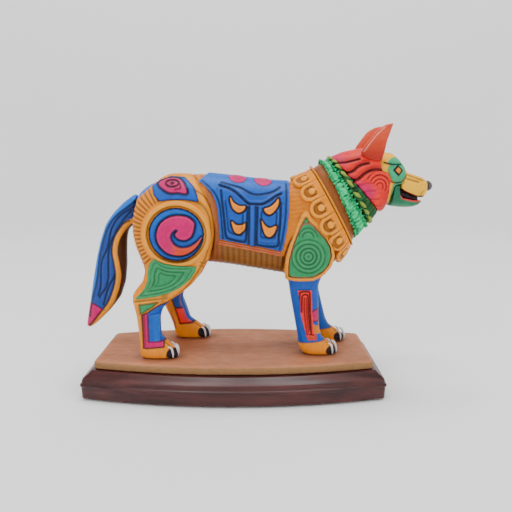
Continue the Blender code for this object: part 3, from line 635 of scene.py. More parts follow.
def hip_relief(side):
    rim = Carving(f"hip_rim_{side}", 0.5, PALE_GOLD, 0, 6)
    rim.swell(ring(HIP_CENTRE, (25.4, 24.6)), 1.7, 0.5, 0.4)
    rim.cut(ring(HIP_CENTRE, (23.4, 22.6)), 0.5, 0.2, 0.7)
    rim.finish(f"carved_hip_rim_{side}", GOLD_PAINT, "gold_paint")

    disc = Carving(f"hip_disc_{side}", 0.45, BLUE, 0, 6)
    gap = np.hypot((disc.x - HIP_CENTRE[0]) / HIP_DISC[0], (disc.z - HIP_CENTRE[1]) / HIP_DISC[1])
    disc.relax(40, np.clip((0.93 - gap) * 12, 0, 1) * disc.out)
    disc.measure()
    comma = smooth_line(HIP_SPIRAL, True)
    # Lighter towards the top and darker towards the bottom: painted light and shade.
    disc.fill(ramp(disc.z, 128, 154) * 0.55, BRIGHT_BLUE)
    disc.fill(0.6 * (1 - ramp(disc.z, 112, 126)), DEEP_BLUE)
    disc.outline(comma, 1.1, 0.9, 0.3)
    disc.cut(ring(HIP_CENTRE, (21.9, 21.1)), 0.6, 0.3, 0.9)
    spiral = disc.inside(comma, 0.25)
    disc.fill(spiral, MAGENTA)
    tail = ramp(disc.x, -53, -43) * (1 - ramp(disc.z - 0.55 * np.maximum(disc.x + 36, 0), 129.6, 130.6))
    disc.fill(spiral * tail, ORANGE)
    disc.fill(spiral * 0.4 * ramp(disc.z, 140, 150), MAGENTA * 1.25)
    disc.raise_inside(comma, 1.5, 0.7)
    disc.dark *= 1 - disc.inside(scaled(comma, 0.97))
    disc.finish(f"carved_hip_disc_{side}", BLUE_PAINT, "blue_paint",
                [f"hip_disc_{side}", f"hip_spiral_{side}"])


def rump_relief(side):
    lobe = Carving(f"rump_lobe_{side}", 0.45, BLUE, 0, 6)
    outline = smooth_line(RUMP_LOBE, True)
    away = -signed_distance(outline, lobe.x, lobe.z)
    lobe.relax(30, np.clip((away - 1) / 1.5, 0, 1))
    lobe.measure()
    # Lighter towards the top: painted highlight.
    lobe.fill(ramp(lobe.z, 166, 178) * 0.7, BRIGHT_BLUE)
    swirl = smooth_line(RUMP_SPIRAL, True)
    lobe.outline(np.array(RUMP_LOBE), 0.7, 0.7, 0.1)
    lobe.outline(swirl, 1.1, 0.9, 0.3)
    inner = lobe.inside(swirl, 0.25)
    lobe.fill(inner, MAGENTA)
    lobe.raise_inside(swirl, 1.3, 0.7)
    lobe.dark *= 1 - lobe.inside(scaled(swirl, 0.96))
    lobe.cut(ring((-48.8, 175.0), (5.2, 2.6)), 0.55, 0.5, 0.95)
    lobe.cut(ring((-48.8, 175.0), (0.8, 0.4)), 0.6, 0.4, 0.9)
    lobe.cut(smooth_line(((-43, 174.6), (-42, 171.4), (-46, 170.4))), 0.45, 0.3, 0.7)
    lobe.finish(f"carved_rump_lobe_{side}", BLUE_PAINT, "blue_paint",
                [f"rump_lobe_{side}", f"rump_spiral_{side}"])


def thigh_relief(side):
    panel = Carving(f"thigh_panel_{side}", 0.45, GREEN, HIND_STEP, 6)
    outline = np.array(THIGH_PANEL)
    away = -signed_distance(outline, panel.x, panel.z)
    panel.relax(35, np.clip((away - 1) / 1.5, 0, 1) * panel.out)
    panel.measure()
    panel.fill(0.5 * ramp(away, 0.5, 3) * (1 - ramp(away, 3, 6)), PALE_GREEN)
    for share, depth in ((0.8, 0.3), (0.57, 0.35), (0.33, 0.3)):
        loop = smooth_line(scaled(outline, share, (-56, 98)), True)
        panel.outline(loop, 0.5, 0.3, depth)
        panel.swell(smooth_line(scaled(outline, share + 0.09, (-56, 98)), True), 0.6, 0.2, 0.35)
    panel.finish(f"carved_thigh_panel_{side}", GREEN_PAINT, "green_paint")

    shank = Carving(f"shank_panel_{side}", 0.45, BLUE, HIND_STEP, 5)
    shank.fill(0.5 * ramp(shank.x, -68, -62), BRIGHT_BLUE)
    shank.cut(np.array(((-70.2, 70), (-70.2, 46))), 0.5, 0.2, 0.8)
    shank.finish(f"carved_shank_panel_{side}", BLUE_PAINT, "blue_paint")


def make_tail():
    tail = Carving("tail", 0.6, TAIL_BLUE, 0, 50)
    edge = smooth_line(TAIL_EDGE)
    top = smooth_line(TAIL_TOP)
    behind = np.vstack([edge, ((-128, 30), (-60, 30), (-60, 143))])
    ahead = np.vstack([top, ((-150, 55), (-150, 190), (-78, 190))])
    tail.fill(tail.inside(behind), BROWN * 0.7)
    tail.fill(tail.inside(ahead), BRIGHT_BLUE)
    tail.cut(top, 0.7, 0.35, 0.75)
    steps = np.linspace(0, 1, 90)
    rear = top[np.round(steps * (len(top) - 1)).astype(int)]
    fore = edge[np.round(steps * (len(edge) - 1)).astype(int)]
    tail.where = (1 - tail.near(edge, 2.6)) * (1 - tail.near(top, 1.2)) * (1 - tail.inside(behind))
    for share in (0.24, 0.5, 0.76):
        sway = share + 0.09 * np.sin(steps * 16 + share * 9)
        wave = (rear + (fore - rear) * sway[:, None])[4:69]
        tail.cut(wave, 0.55, 0.45, 0.8)
        tail.swell(wave + np.array((1.5, 0.6)), 0.8, 0.35, 0.3)
    tail.where = np.ones(len(tail.z))
    tip = np.array(((-140, 78), (-125.2, 72), (-121, 70.8), (-115.4, 66.6), (-100, 60), (-110, 30),
                    (-145, 30)))
    tail.fill(tail.inside(tip) * (1 - tail.inside(behind)), MAGENTA)
    tail.cut(smooth_line(((-128, 73), (-125.2, 72), (-121, 70.8), (-114, 66))), 0.5, 0.3, 0.6)
    tail.fill(tail.near(edge, 2.1), PALE_GOLD)
    tail.swell(edge, 1.7, 0.6, 0.5)
    tail.cut(edge + np.array((-2.3, 0.6)), 0.5, 0.3, 0.8)
    return tail.finish("carved_tail", BLUE_PAINT, "blue_paint")


# ---------------------------------------------------------------- trunk and saddle

def make_torso():
    torso = Carving("torso", 0.9, GOLD * np.array((0.82, 0.74, 0.6)), 0, 70)
    x, z = torso.x, torso.z
    trim = 129.9 - 0.194 * (x + 11.2)
    belly = (1 - ramp(z - trim, -4.5, -3)) * ramp(x, -20, -17) * (1 - ramp(x, 41, 43))
    # The underside is painted a darker gold than the flank, and darker still low down: painted shade under
    # the body.
    torso.fill(belly, SHADED_BELLY_GOLD)
    ribs = np.abs(x / 4.6 - np.round(x / 4.6)) * 4.6
    groove = np.exp(-(ribs / 0.7) ** 2) * belly
    torso.lift -= 0.5 * groove
    torso.dark = np.maximum(torso.dark, 0.55 * groove)
    torso.dark = np.maximum(torso.dark, belly * 0.35 * (1 - ramp(z, 100, 112)))
    # Brown strip behind the saddle, darkest low down: a painted shadow.
    flank = ramp(x, -24, -20) * (1 - ramp(x, -12, -8)) * (1 - ramp(z, 172, 178))
    torso.fill(flank, AMBER)
    torso.dark = np.maximum(torso.dark, 0.35 * flank * (1 - ramp(z, 112, 150)))
    welt = smooth_line(((-29, 181), (-22.5, 173), (-18.4, 165), (-16.4, 156), (-15.8, 145)))
    torso.swell(welt, 1.0, 0.5, 0.5)
    # Lower front of the chest painted darker: painted shade.
    chest = ramp(x, 60, 70) * (1 - ramp(z - 0.55 * x, 84, 92))
    torso.fill(chest * 0.7, DEEP_GOLD)
    torso.dark = np.maximum(torso.dark, 0.3 * chest)
    neck = ramp(x * 0.866 + z * 0.5, 147.4, 148.6)
    torso.fill(neck, AMBER)
    torso.dark = np.maximum(torso.dark, 0.12 * neck)
    drop = smooth_line(TEARDROP, True)
    torso.fill(torso.inside(drop), GREEN)
    torso.raise_inside(drop, 0.5, 0.8)
    border = smooth_line(scaled(TEARDROP, 1.11, (61, 118)), True)
    torso.fill(torso.near(border, 1.7) * (1 - torso.inside(drop)), PALE_GOLD)
    torso.swell(border, 1.5, 0.9, 0.3)
    torso.outline(drop, 0.5, 0.7, 0.2)
    shoulder = ramp(x, 44, 47) * (1 - ramp(x, 56, 60)) * ramp(z, 138, 150)
    for level in np.arange(120, 176, 3.4):
        torso.where = shoulder * 0.5
        torso.cut(np.array(((44, level), (60, level + 2))), 0.45, 0.15, 0.35)
    torso.where = np.ones(len(z))
    for share in (-26, -31, -36):
        torso.cut(np.array(((share, 178), (share - 3, 190))), 0.5, 0.2, 0.3)
    crest = ramp(z - 160.5 - 0.8 * (x + 82), 0.6, 1.6) * (1 - ramp(x, -52, -50)) * ramp(z, 158, 160)
    torso.fill(crest, BRIGHT_BLUE)
    return torso.finish("carved_torso", GOLD_PAINT, "gold_paint")


def make_saddle():
    saddle = Carving("saddle_panel", 0.5, BLUE, 0, 8)
    saddle.relax(45, np.clip((np.minimum(
        np.minimum(distance_to(smooth_line(SADDLE_REAR), saddle.x, saddle.z, 12),
                   distance_to(smooth_line(SADDLE_FRONT), saddle.x, saddle.z, 12)),
        distance_to(np.array(SADDLE_LOW), saddle.x, saddle.z, 12)) - 1) / 2, 0, 1))
    saddle.measure()
    # Lighter towards the top and darker towards the bottom: painted light and shade.
    saddle.fill(ramp(saddle.z, 164, 180) * 0.65, BRIGHT_BLUE)
    saddle.fill((1 - ramp(saddle.z, 122, 140)) * 0.35, DEEP_BLUE)
    brow_top = smooth_line(((-9.6, 176.4), (-1.5, 174.2), (7.2, 171.6), (14.9, 167.4), (21.8, 166.6),
                            (29.6, 168), (34.8, 170), (38, 172.4)))
    brow_low = smooth_line(((-11.2, 174), (-4.1, 172), (2, 168.7), (7.1, 164.4), (11.4, 160.6),
                            (14.9, 159.2),
                            (23.6, 159.3), (28.8, 161.6), (34, 165), (39, 167.2)))
    saddle.cut(brow_top, 0.65, 0.55, 0.8)
    saddle.cut(brow_low, 0.75, 0.7, 0.85)
    saddle.swell(brow_low + np.array((0.3, 2.0)), 1.1, 0.5, 0.35)
    saddle.swell(brow_low + np.array((-0.4, -1.9)), 0.9, 0.45, 0.3)
    frames = (
        ((-9.6, 170), (-8.2, 158.4), (-6.9, 146.2), (-5.8, 134), (-2.4, 131), (7.8, 128.8), (10.3, 130.6),
         (11.4, 142.7), (12.0, 156.6)),
        ((19.9, 156.6), (19.4, 142.7), (19.2, 128.4), (21.9, 125.6), (35.6, 125.4), (37.0, 133.8),
         (38.2, 146.2), (38.6, 160.1)))
    for path in frames:
        line = smooth_line(path)
        saddle.cut(line, 0.65, 0.6, 0.8)
        middle = np.array((line[:, 0].mean(), 146.0))
        for share, height in ((0.8, 0.55), (1.17, 0.45)):
            saddle.swell(smooth_line(scaled(line[::8], share, middle)), 0.85, height, 0.35)
        saddle.cut(smooth_line(scaled(line[::8], 0.66, middle)), 0.5, 0.4, 0.6)
    for x in (13.2, 18.4):
        saddle.cut(smooth_line(((x, 157.6), (x - 0.2, 142.7), (x - 0.7, 124.6))), 0.6, 0.55, 0.8)
    saddle.swell(smooth_line(((15.8, 157), (15.5, 142.7), (15, 125.4))), 1.8, 0.8, 0.35)
    for border in (SADDLE_REAR, SADDLE_FRONT):
        line = smooth_line(border)
        inward = 2.6 if border is SADDLE_REAR else -2.6
        saddle.cut(line + np.array((inward, 0)), 0.5, 0.4, 0.7)
        saddle.swell(line + np.array((inward / 2.4, 0)), 0.9, 0.3, 0.3)
    for outline in CRESCENTS:
        moon = smooth_line(outline, True)
        saddle.fill(saddle.near(np.vstack([moon, moon[:1]]), 1.3), INK)
        saddle.fill(saddle.inside(moon + np.array((0, -0.7))), INK)
        saddle.raise_inside(moon, 0.9, 0.9)
        saddle.fill(saddle.inside(scaled(moon, 0.93)), CRESCENT)
        saddle.dark *= 1 - 0.9 * saddle.inside(scaled(moon, 0.9))
    for x in (3.3, 24.4):
        spot = np.hypot((saddle.x - x) / 7.4, (saddle.depth - 9.8) / 6.6)
        above = ramp(saddle.z, 160, 165)
        saddle.fill((1 - ramp(spot, 1.0, 1.12)) * above * 0.9, DEEP_BLUE * 0.4)
        saddle.fill((1 - ramp(spot, 0.92, 1.0)) * above, MAGENTA)
        saddle.lift += 0.5 * (1 - ramp(spot, 0.8, 1.05)) * above
    return saddle.finish("carved_saddle", BLUE_PAINT, "blue_paint")


def saddle_trim(side):
    trim = Carving(f"saddle_trim_{side}", 0.45, CORAL, 0, 5)
    middle = np.array(((-12, 128.3), (40, 118.2)))
    trim.cut(middle, 0.4, 0.3, 0.4)
    trim.fill(0.6 * np.clip(np.sin(trim.x * 0.45) * 0.5 + 0.3, 0, 1), ORANGE)
    trim.finish(f"carved_saddle_trim_{side}", RED_PAINT, "orange_paint")


# ---------------------------------------------------------------- shoulder and forelegs

def shoulder_relief(side):
    rim = Carving(f"shoulder_rim_{side}", 0.5, PALE_GOLD, FORE_STEP, 10)
    rim.fill(0.4 * (1 - ramp(rim.z, 98, 120)), DEEP_GOLD)
    rim.finish(f"carved_shoulder_rim_{side}", GOLD_PAINT, "gold_paint")

    panel = Carving(f"shoulder_panel_{side}", 0.45, GREEN, FORE_STEP, 6)
    outline = np.array(TEARDROP)
    away = -signed_distance(outline, panel.x, panel.z)
    panel.relax(45, np.clip((away - 1) / 1.5, 0, 1) * panel.out)
    panel.measure()
    for radius in (2.2, 5.2, 8.6, 12.2):
        circle = ring(RING_CENTRE, (radius, radius))
        panel.swell(circle, 0.7, 0.35, 0.5)
        panel.cut(ring(RING_CENTRE, (radius + 1.5, radius + 1.5)), 0.55, 0.35, 0.3)
    for radius in (3.2, 6.2):
        arc = ring((60.6, 132.6), (radius, radius), 10, 170)
        panel.swell(arc, 0.6, 0.25, 0.45)
        panel.cut(ring((60.6, 132.6), (radius + 1.3, radius + 1.3), 10, 170), 0.5, 0.3, 0.4)
    panel.finish(f"carved_shoulder_panel_{side}", GREEN_PAINT, "green_paint")


def fore_leg(side):
    leg = Carving(f"fore_leg_{side}", 0.6, BLUE, FORE_STEP, 40)
    leg.fill(ramp(leg.z, 97, 99), GOLD)
    leg.fill(ramp(leg.z, 86, 96) * 0.4, DEEP_BLUE)
    cuff = 41.6 + 0.1 * (leg.x - 55)
    leg.fill(1 - ramp(leg.z - cuff, -0.4, 0.4), GOLD)
    leg.dark = np.maximum(leg.dark, 0.7 * np.exp(-((leg.z - cuff) / 0.5) ** 2))
    outer = ramp(leg.depth, 17, 19)
    leg.where = outer
    square = np.array(((65.1, 69.6), (70.7, 71.8), (71.2, 60.9), (64.2, 60.6)))
    leg.fill(leg.inside(square), MAGENTA)
    leg.fill(leg.inside(np.array(((70.9, 72), (76, 72), (76, 50), (71.4, 50)))), AMBER)
    leg.fill(leg.inside(np.array(((64.4, 59.4), (72.4, 56), (73, 50), (66, 50)))), DEEP_GOLD)
    leg.outline(square, 0.45, 0.7, 0.3)
    leg.fill(leg.inside(np.array(((60.5, 49.4), (70.2, 49.4), (69.9, 44.6), (62.6, 44.6)))), ORANGE)
    leg.where = np.ones(len(leg.z))
    leg.fill((1 - outer) * (1 - ramp(leg.z, 60, 96)) * ramp(leg.z - cuff, 0, 1) * 0.3, DEEP_BLUE)
    toe_marks(leg, 87.6, 17.6)
    return leg.finish(f"carved_fore_leg_{side}", LEG_PAINT, "blue_paint")


def foreleg_relief(side):
    panel = Carving(f"foreleg_panel_{side}", 0.4, RED, FORE_STEP, 5)
    panel.fill(1 - ramp(panel.z, 47, 50), ORANGE)
    loops = (
        ((54.9, 70), (54.6, 84), (56, 87), (60.4, 87.4), (63, 85.6), (63.6, 70), (65, 50)),
        ((56.6, 70), (56.6, 82), (58, 84.6), (60.6, 84.6), (61.8, 82), (62.2, 70), (64, 54)),)
    for path in loops:
        panel.cut(smooth_line(path), 0.5, 0.45, 0.85)
    panel.cut(smooth_line(((58.6, 82), (58.8, 70), (61.4, 50))), 0.4, 0.35, 0.7)
    panel.cut(smooth_line(((60.3, 82), (60.6, 70), (62.8, 52))), 0.4, 0.3, 0.6)
    panel.cut(smooth_line(((60.8, 50.2), (68, 49.6))), 0.4, 0.3, 0.7)
    panel.finish(f"carved_foreleg_panel_{side}", RED_PAINT, "red_paint")


# ---------------------------------------------------------------- claws

def bent_cone(points, radii, count=12, flat=0.8):
    """Closed tapering form along a short path, as lists of points and faces."""
    path = [Vector(point) for point in points]
    verts, faces = [], []
    for index, here in enumerate(path):
        ahead = path[min(index + 1, len(path) - 1)] - path[max(index - 1, 0)]
        along = ahead.normalized()
        across = Vector((0, 1, 0)).cross(along).normalized()
        aside = along.cross(across)
        for turn in range(count):
            angle = math.tau * turn / count
            verts.append(here + (across * math.cos(angle) * flat + aside * math.sin(angle)) * radii[index])
    for row in range(len(path) - 1):
        for turn in range(count):
            after = (turn + 1) % count
            faces.append((row * count + turn, row * count + after,
                          (row + 1) * count + after, (row + 1) * count + turn))
    faces.append(tuple(reversed(range(count))))
    faces.append(tuple(range(len(verts) - count, len(verts))))
    return verts, faces


def plain_piece(name, parts, finish, shade=None, subdivide=0):
    """Piece from several closed forms given as points in millimetres and faces."""
    shape = bmesh.new()
    for verts, faces in parts:
        made = [shape.verts.new(Vector(point) * MM) for point in verts]
        for face in faces:
            shape.faces.new([made[index] for index in face])
    bmesh.ops.recalc_face_normals(shape, faces=shape.faces)
    if subdivide:
        bmesh.ops.subdivide_edges(shape, edges=shape.edges, cuts=subdivide, use_grid_fill=True, smooth=0.6)
    mesh = bpy.data.meshes.new(name)
    shape.to_mesh(mesh)
    shape.free()
    points = np.empty(len(mesh.vertices) * 3)
    mesh.vertices.foreach_get("co", points)
    points = points.reshape(-1, 3) / MM
    rgba = np.ones((len(points), 4), np.float32)
    paint, dark = shade(points)
    rgba[:, :3] = paint
    mesh.attributes.new("paint", "FLOAT_COLOR", "POINT").data.foreach_set("color", rgba.ravel())
    mesh.attributes.new("dark_paint_and_shade", "FLOAT", "POINT").data.foreach_set("value", dark.astype(np.float32))
    plain = np.zeros(len(points), np.float32)
    mesh.attributes.new("rub_and_highlight", "FLOAT", "POINT").data.foreach_set("value", plain)
    return add_piece(name, mesh, finish)


def claws(name, front, centre):
    """Four bone-white claws on one paw."""
    parts = []
    for offset in (-6.2, -2.1, 2.1, 6.2):
        y = centre + offset
        tip = front - 4.2 * (offset / 6.2) ** 2
        path = ((tip - 3.8, y, 41.2), (tip - 2.3, y, 41.0), (tip - 1.0, y, 39.8), (tip - 0.2, y, 37.4),
                (tip + 0.2, y, 35.0), (tip + 0.2, y, 32.8), (tip, y, 31.5))
        parts.append(bent_cone(path, (0.5, 0.9, 1.1, 1.1, 1.0, 0.75, 0.35)))

    def shade(points):
        paint = np.tile(BONE, (len(points), 1))
        # Claws darker towards the tips, where they meet the ground: painted shade.
        return paint, 0.5 * (1 - ramp(points[:, 2], 31.5, 33.5))

    return plain_piece(name, parts, CLAW_PAINT, shade)


# ---------------------------------------------------------------- collar and ruff

COLLAR_START = np.array((53.0, 181.0))
COLLAR_END = np.array((91.0, 115.0))
COLLAR_HALF_WIDTH = 27.5
SCALLOPS = 14


def neck_places(points):
    """Distance round the neck from its top, and distance ahead of the collar's rear edge line."""
    middle = (COLLAR_START + COLLAR_END) / 2
    along = (COLLAR_START - COLLAR_END) / np.hypot(*(COLLAR_START - COLLAR_END))
    ahead = np.array((-along[1], along[0])) * -1
    flat = points[:, (0, 2)] - middle
    height = flat @ along
    forward = flat @ ahead
    half = np.hypot(*(COLLAR_START - COLLAR_END)) / 2
    angles = np.radians(np.linspace(0, 360, 721))
    power = 2 / 2.3
    up = np.sign(np.cos(angles)) * np.abs(np.cos(angles)) ** power * half
    aside = np.sign(np.sin(angles)) * np.abs(np.sin(angles)) ** power * COLLAR_HALF_WIDTH
    lengths = np.concatenate([[0], np.cumsum(np.hypot(np.diff(up), np.diff(aside)))])
    bearing = np.degrees(np.arctan2(aside, up)) % 360
    bearing[-1] = 360
    place = np.interp(np.degrees(np.arctan2(points[:, 1], height)) % 360, bearing, lengths)
    return place, forward, lengths[-1]


def make_collar():
    collar = Carving("collar", 0.45, GOLD, 0, 8)
    place, forward, around = neck_places(collar.points)
    pitch = around / SCALLOPS
    t = place - np.round(place / pitch) * pitch
    bend = 1.5
    radius = 6.1
    gap = np.where(forward > bend, np.abs(t), np.hypot(t, forward - bend)) - radius
    open_end = 1 - ramp(forward, 4.5, 8)
    rim = np.exp(-(gap / 1.35) ** 2) * open_end
    pocket = (1 - ramp(gap, -1.9, -0.9)) * open_end
    between = ramp(gap, 0.9, 1.6)
    pearl = np.clip(1 - np.hypot(t, forward - 3.4) ** 2 / 2.9 ** 2, 0, 1) ** 0.5
    stalk = 0.3 * np.clip(1 - (t / 1.2) ** 2, 0, 1) * ramp(forward, 4, 5) * (1 - ramp(forward, 7, 9))
    drop = np.maximum(pearl, stalk)
    collar.lift += 0.9 * rim - 0.7 * pocket + 1.7 * drop - 0.3 * between
    # Raised rims and pearls are painted lighter with a painted highlight; the sunk pockets and the gaps
    # between scallops are painted darker: painted shade.
    collar.fill(rim * 0.8, PALE_GOLD)
    collar.fill(pocket * (1 - np.clip(drop * 2, 0, 1)) * 0.7, DEEP_GOLD * 0.8)
    collar.fill(np.clip(drop * 2, 0, 1), PALE_GOLD * 1.08)
    collar.dark = np.maximum(collar.dark, 0.5 * pocket * (1 - np.clip(drop * 3, 0, 1)) + 0.55 * between)
    collar.light = np.maximum(collar.light, np.maximum(0.3 * rim, 0.4 * np.clip(drop, 0, 1)))
    collar.finish("carved_collar", GOLD_PAINT, "gold_paint")

    cord = Carving("collar_ridge", 0.45, DEEP_GOLD, 0, 5)
    place, forward, around = neck_places(cord.points)
    band = 1 - ramp(forward, 13.9, 14.6)
    cord.fill(band, PALE_GOLD)
    cord.fill(1 - band, AMBER)
    cord.dark = np.maximum(cord.dark, 0.15 * (1 - band))
    cord.finish("carved_collar_ridge", GOLD_PAINT, "orange_paint")


def fluff(carving, height, scale, hollow_shade, bright):
    """Carved fur: noisy tufts, with a painted highlight on their tops and painted shade between them."""
    place, forward, around = neck_places(carving.points)
    strands = np.stack([np.minimum(place, around - place) * scale * 1.2, forward * scale * 0.4], 1)
    rough = np.array([noise.fractal(Vector((along, ahead, 0)), 0.9, 2.1, 4) for along, ahead in strands])
    ridge = np.array([noise.noise(Vector(point) * scale * 0.45) for point in carving.points])
    tuft = np.clip(rough * 0.9 + ridge * 0.35, -1, 1)
    carving.lift += height * tuft
    carving.fill(np.clip(-tuft * 1.4, 0, 1), hollow_shade)
    carving.fill(np.clip(tuft * 1.2, 0, 1) * 0.2, bright)
    carving.dark = np.maximum(carving.dark, np.clip(-tuft * 1.1 - 0.2, 0, 0.7))


def make_ruff():
    ruff = Carving("ruff", 0.5, RUFF, 0, 10)
    place, forward, around = neck_places(ruff.points)
    middle = (forward - forward.min()) / (forward.max() - forward.min())
    ruff.fill(0.7 * (1 - ramp(middle, 0.12, 0.3)), SEA_GREEN * 0.4)
    ruff.fill(0.7 * ramp(middle, 0.72, 0.9), SEA_GREEN * 0.4)
    fluff(ruff, 0.9, 0.42, SEA_GREEN, np.array((0.02, 0.85, 0.33)))
    ruff.finish("carved_ruff", MOSS_PAINT, "green_paint")
    inner = Carving("inner_ruff", 0.5, MOSS, 0, 8)
    fluff(inner, 0.8, 0.4, MOSS * 0.35, np.array((0.05, 0.22, 0.06)))
    inner.finish("carved_inner_ruff", MOSS_PAINT, "dark_green_paint")


def ring_point(start, end, half_width, angle, grow=0.0):
    """Point on a leaning ring round the neck, and its outward direction."""
    start, end = Vector((start[0], 0, start[1])), Vector((end[0], 0, end[1]))
    middle = (start + end) / 2
    up = (start - end).normalized()
    half = (start - end).length / 2
    power = 2 / 2.3
    cos, sin = math.cos(angle), math.sin(angle)
    high = math.copysign(abs(cos) ** power, cos)
    wide = math.copysign(abs(sin) ** power, sin)
    outward = (up * cos / half + Vector((0, 1, 0)) * sin / half_width).normalized()
    point = middle + up * high * (half + grow) + Vector((0, wide * (half_width + grow), 0))
    return point, outward


def leaf(base, along, outward, length, width, thick):
    """Pointed closed leaf that lies on the surface."""
    aside = along.cross(outward).normalized()
    rows = ((0.0, 0.15), (0.15, 0.7), (0.4, 1.0), (0.7, 0.75), (0.9, 0.3), (1.0, 0.08))
    verts, faces, count = [], [], 8
    for share, broad in rows:
        middle = base + along * length * share + outward * thick * math.sin(math.pi * share) * 0.7
        for turn in range(count):
            angle = math.tau * turn / count
            verts.append(middle + aside * math.cos(angle) * width * broad / 2
                         + outward * math.sin(angle) * thick * broad / 2)
    for row in range(len(rows) - 1):
        for turn in range(count):
            after = (turn + 1) % count
            faces.append((row * count + turn, row * count + after,
                          (row + 1) * count + after, (row + 1) * count + turn))
    faces.append(tuple(reversed(range(count))))
    faces.append(tuple(range(len(verts) - count, len(verts))))
    return verts, faces


def ruff_leaves():
    """Lime leaves in the dark row, and bright tufts along both edges of the ruff."""
    draws = np.random.default_rng(4)
    leaves = []
    for index in range(22):
        angle = math.tau * (index + 0.25) / 22
        point, outward = ring_point((80.6, 195.4), (115.0, 143.6), 25.6, angle, 0.2)
        after, _ = ring_point((80.6, 195.4), (115.0, 143.6), 25.6, angle + 0.2, 0.2)
        round_way = (after - point).normalized() * (-1 if math.sin(angle) < 0 else 1)
        lean = (round_way + Vector((0.45, 0, 0.3)) * draws.uniform(0.2, 0.8)).normalized()
        leaves.append(leaf(point - lean * 3.5, lean, outward, draws.uniform(6.5, 8.5), 3.0, 2.2))

    def lime(points):
        return np.tile(LIME, (len(points), 1)), 0.1 * np.ones(len(points))

    plain_piece("ruff_leaves", leaves, MOSS_PAINT, lime)
    tufts = []
    edges = (((73.2, 193.6), (103.2, 131), 27.4, Vector((-0.55, 0, -0.3))),
             ((78.0, 193.4), (111.0, 138.8), 26.6, Vector((0.55, 0, 0.3))))
    for start, end, half, lean in edges:
        for index in range(84):
            angle = math.tau * (index + draws.uniform(-0.35, 0.35)) / 84
            point, outward = ring_point(start, end, half, angle, draws.uniform(-0.6, 0.3))
            raised = outward * draws.uniform(0.15, 0.6)
            stray = Vector(draws.uniform(-0.3, 0.3, 3))
            along = (lean + raised + stray).normalized()
            tufts.append(leaf(point - along * 1.6, along, outward, draws.uniform(3.0, 4.8), 2.3, 1.3))

    def bright(points):
        wave = 0.5 + 0.5 * np.sin(points[:, 0] * 1.7 + points[:, 1] * 2.3 + points[:, 2])
        return RUFF * (0.6 + 0.45 * wave[:, None]), 0.1 + 0.25 * (1 - wave)

    plain_piece("ruff_tufts", tufts, MOSS_PAINT, bright)


# ---------------------------------------------------------------- head

def make_hood():
    hood = Carving("hood", 0.5, RED, 0, 40)
    x, z = hood.x, hood.z
    hood.fill(0.75 * (1 - ramp(x + 0.2 * (z - 190), 82, 100)) * ramp(z, 184, 196), MAGENTA)
    hood.fill(0.6 * (1 - ramp(x - 0.55 * (190 - z), 88, 98)) * (1 - ramp(z, 178, 186)), MAGENTA)
    # Front of the hood painted darker low down: painted shade.
    hood.fill(0.5 * ramp(x, 116, 124) * (1 - ramp(z, 160, 180)), DEEP_RED)
    cheek = np.hypot((x - 104) / 12, (z - 168) / 9)
    hood.fill(0.75 * (1 - ramp(cheek, 0.5, 1.3)), MAGENTA)
    pleats = (
        ((84, 192), (89, 192.2), (93.6, 192.9), (98.3, 194.2), (102, 195)),
        ((88, 183.4), (92.5, 184.2), (96.6, 185.7), (99.8, 188.6), (104.5, 190.8), (109, 191.8)),
        ((92, 177.2), (96.8, 178.1), (100.6, 179.4), (104.5, 182.7), (109.6, 185.6), (115.4, 186.9),
         (121.5, 186), (125.8, 184.2)))
    for path in pleats:
        line = smooth_line(path)
        hood.cut(line, 0.85, 1.3, 0.95)
        # Darker red band beside each pleat groove: painted shade.
        hood.fill(0.35 * hood.near(line + np.array((0.2, 1.9)), 1.2, 0.8), DEEP_RED)
        hood.swell(line + np.array((0.3, -2.0)), 1.5, 0.9, 0.3)
        above = line + np.array((0, 1.5))
        hood.cut(above, 1.4, 0.25, 0.2)
    for radius in (12.6, 9.2, 6.0, 3.0):
        arc = ring((118.2, 173.2), (radius * 0.95, radius), -30, 150)
        hood.cut(arc, 0.5, 0.4, 0.35)
        hood.swell(ring((118.2, 173.2), (radius * 0.95 + 1.4, radius + 1.4), -30, 150), 0.7, 0.25, 0.3)
    rows = ((97, 172, 112, 176), (100, 166, 114, 170), (104, 160, 118, 163), (108, 155, 121, 157))
    for x0, z0, x1, z1 in rows:
        hood.cut(smooth_line(((x0, z0), ((x0 + x1) / 2, (z0 + z1) / 2 + 1.4), (x1, z1))), 0.5, 0.2, 0.3)
    return hood.finish("carved_hood", RED_PAINT, "red_paint")


def make_ear(side):
    ear = Carving(f"ear_{side}", 0.4, ORANGE, 0, 25)
    ear.fill(0.7 * (1 - ramp(ear.z, 196, 207)), DEEP_RED)
    ear.fill(0.35 * ramp(ear.z, 206, 216), np.array((0.78, 0.12, 0.06)))
    shell = ((105.4, 201), (111, 209.5), (116.4, 216), (121, 220))
    ear.where = ear.out
    ear.swell(smooth_line(shell), 0.9, 0.45, 0.6)
    # Pale line along the ear's ridge: a painted highlight.
    ear.fill(ear.near(smooth_line(shell), 0.15, 0.35) * 0.6, np.array((0.85, 0.6, 0.5)))
    hollow = smooth_line(((110, 199), (114.5, 206), (119.5, 213), (123.6, 218)))
    gap = distance_to(hollow, ear.x, ear.z)
    dish = np.exp(-(gap / 4.0) ** 2) * ear.where
    ear.lift -= 0.8 * dish
    ear.where = np.ones(len(ear.z))
    ear.finish(f"carved_ear_{side}", RED_PAINT, "red_paint")


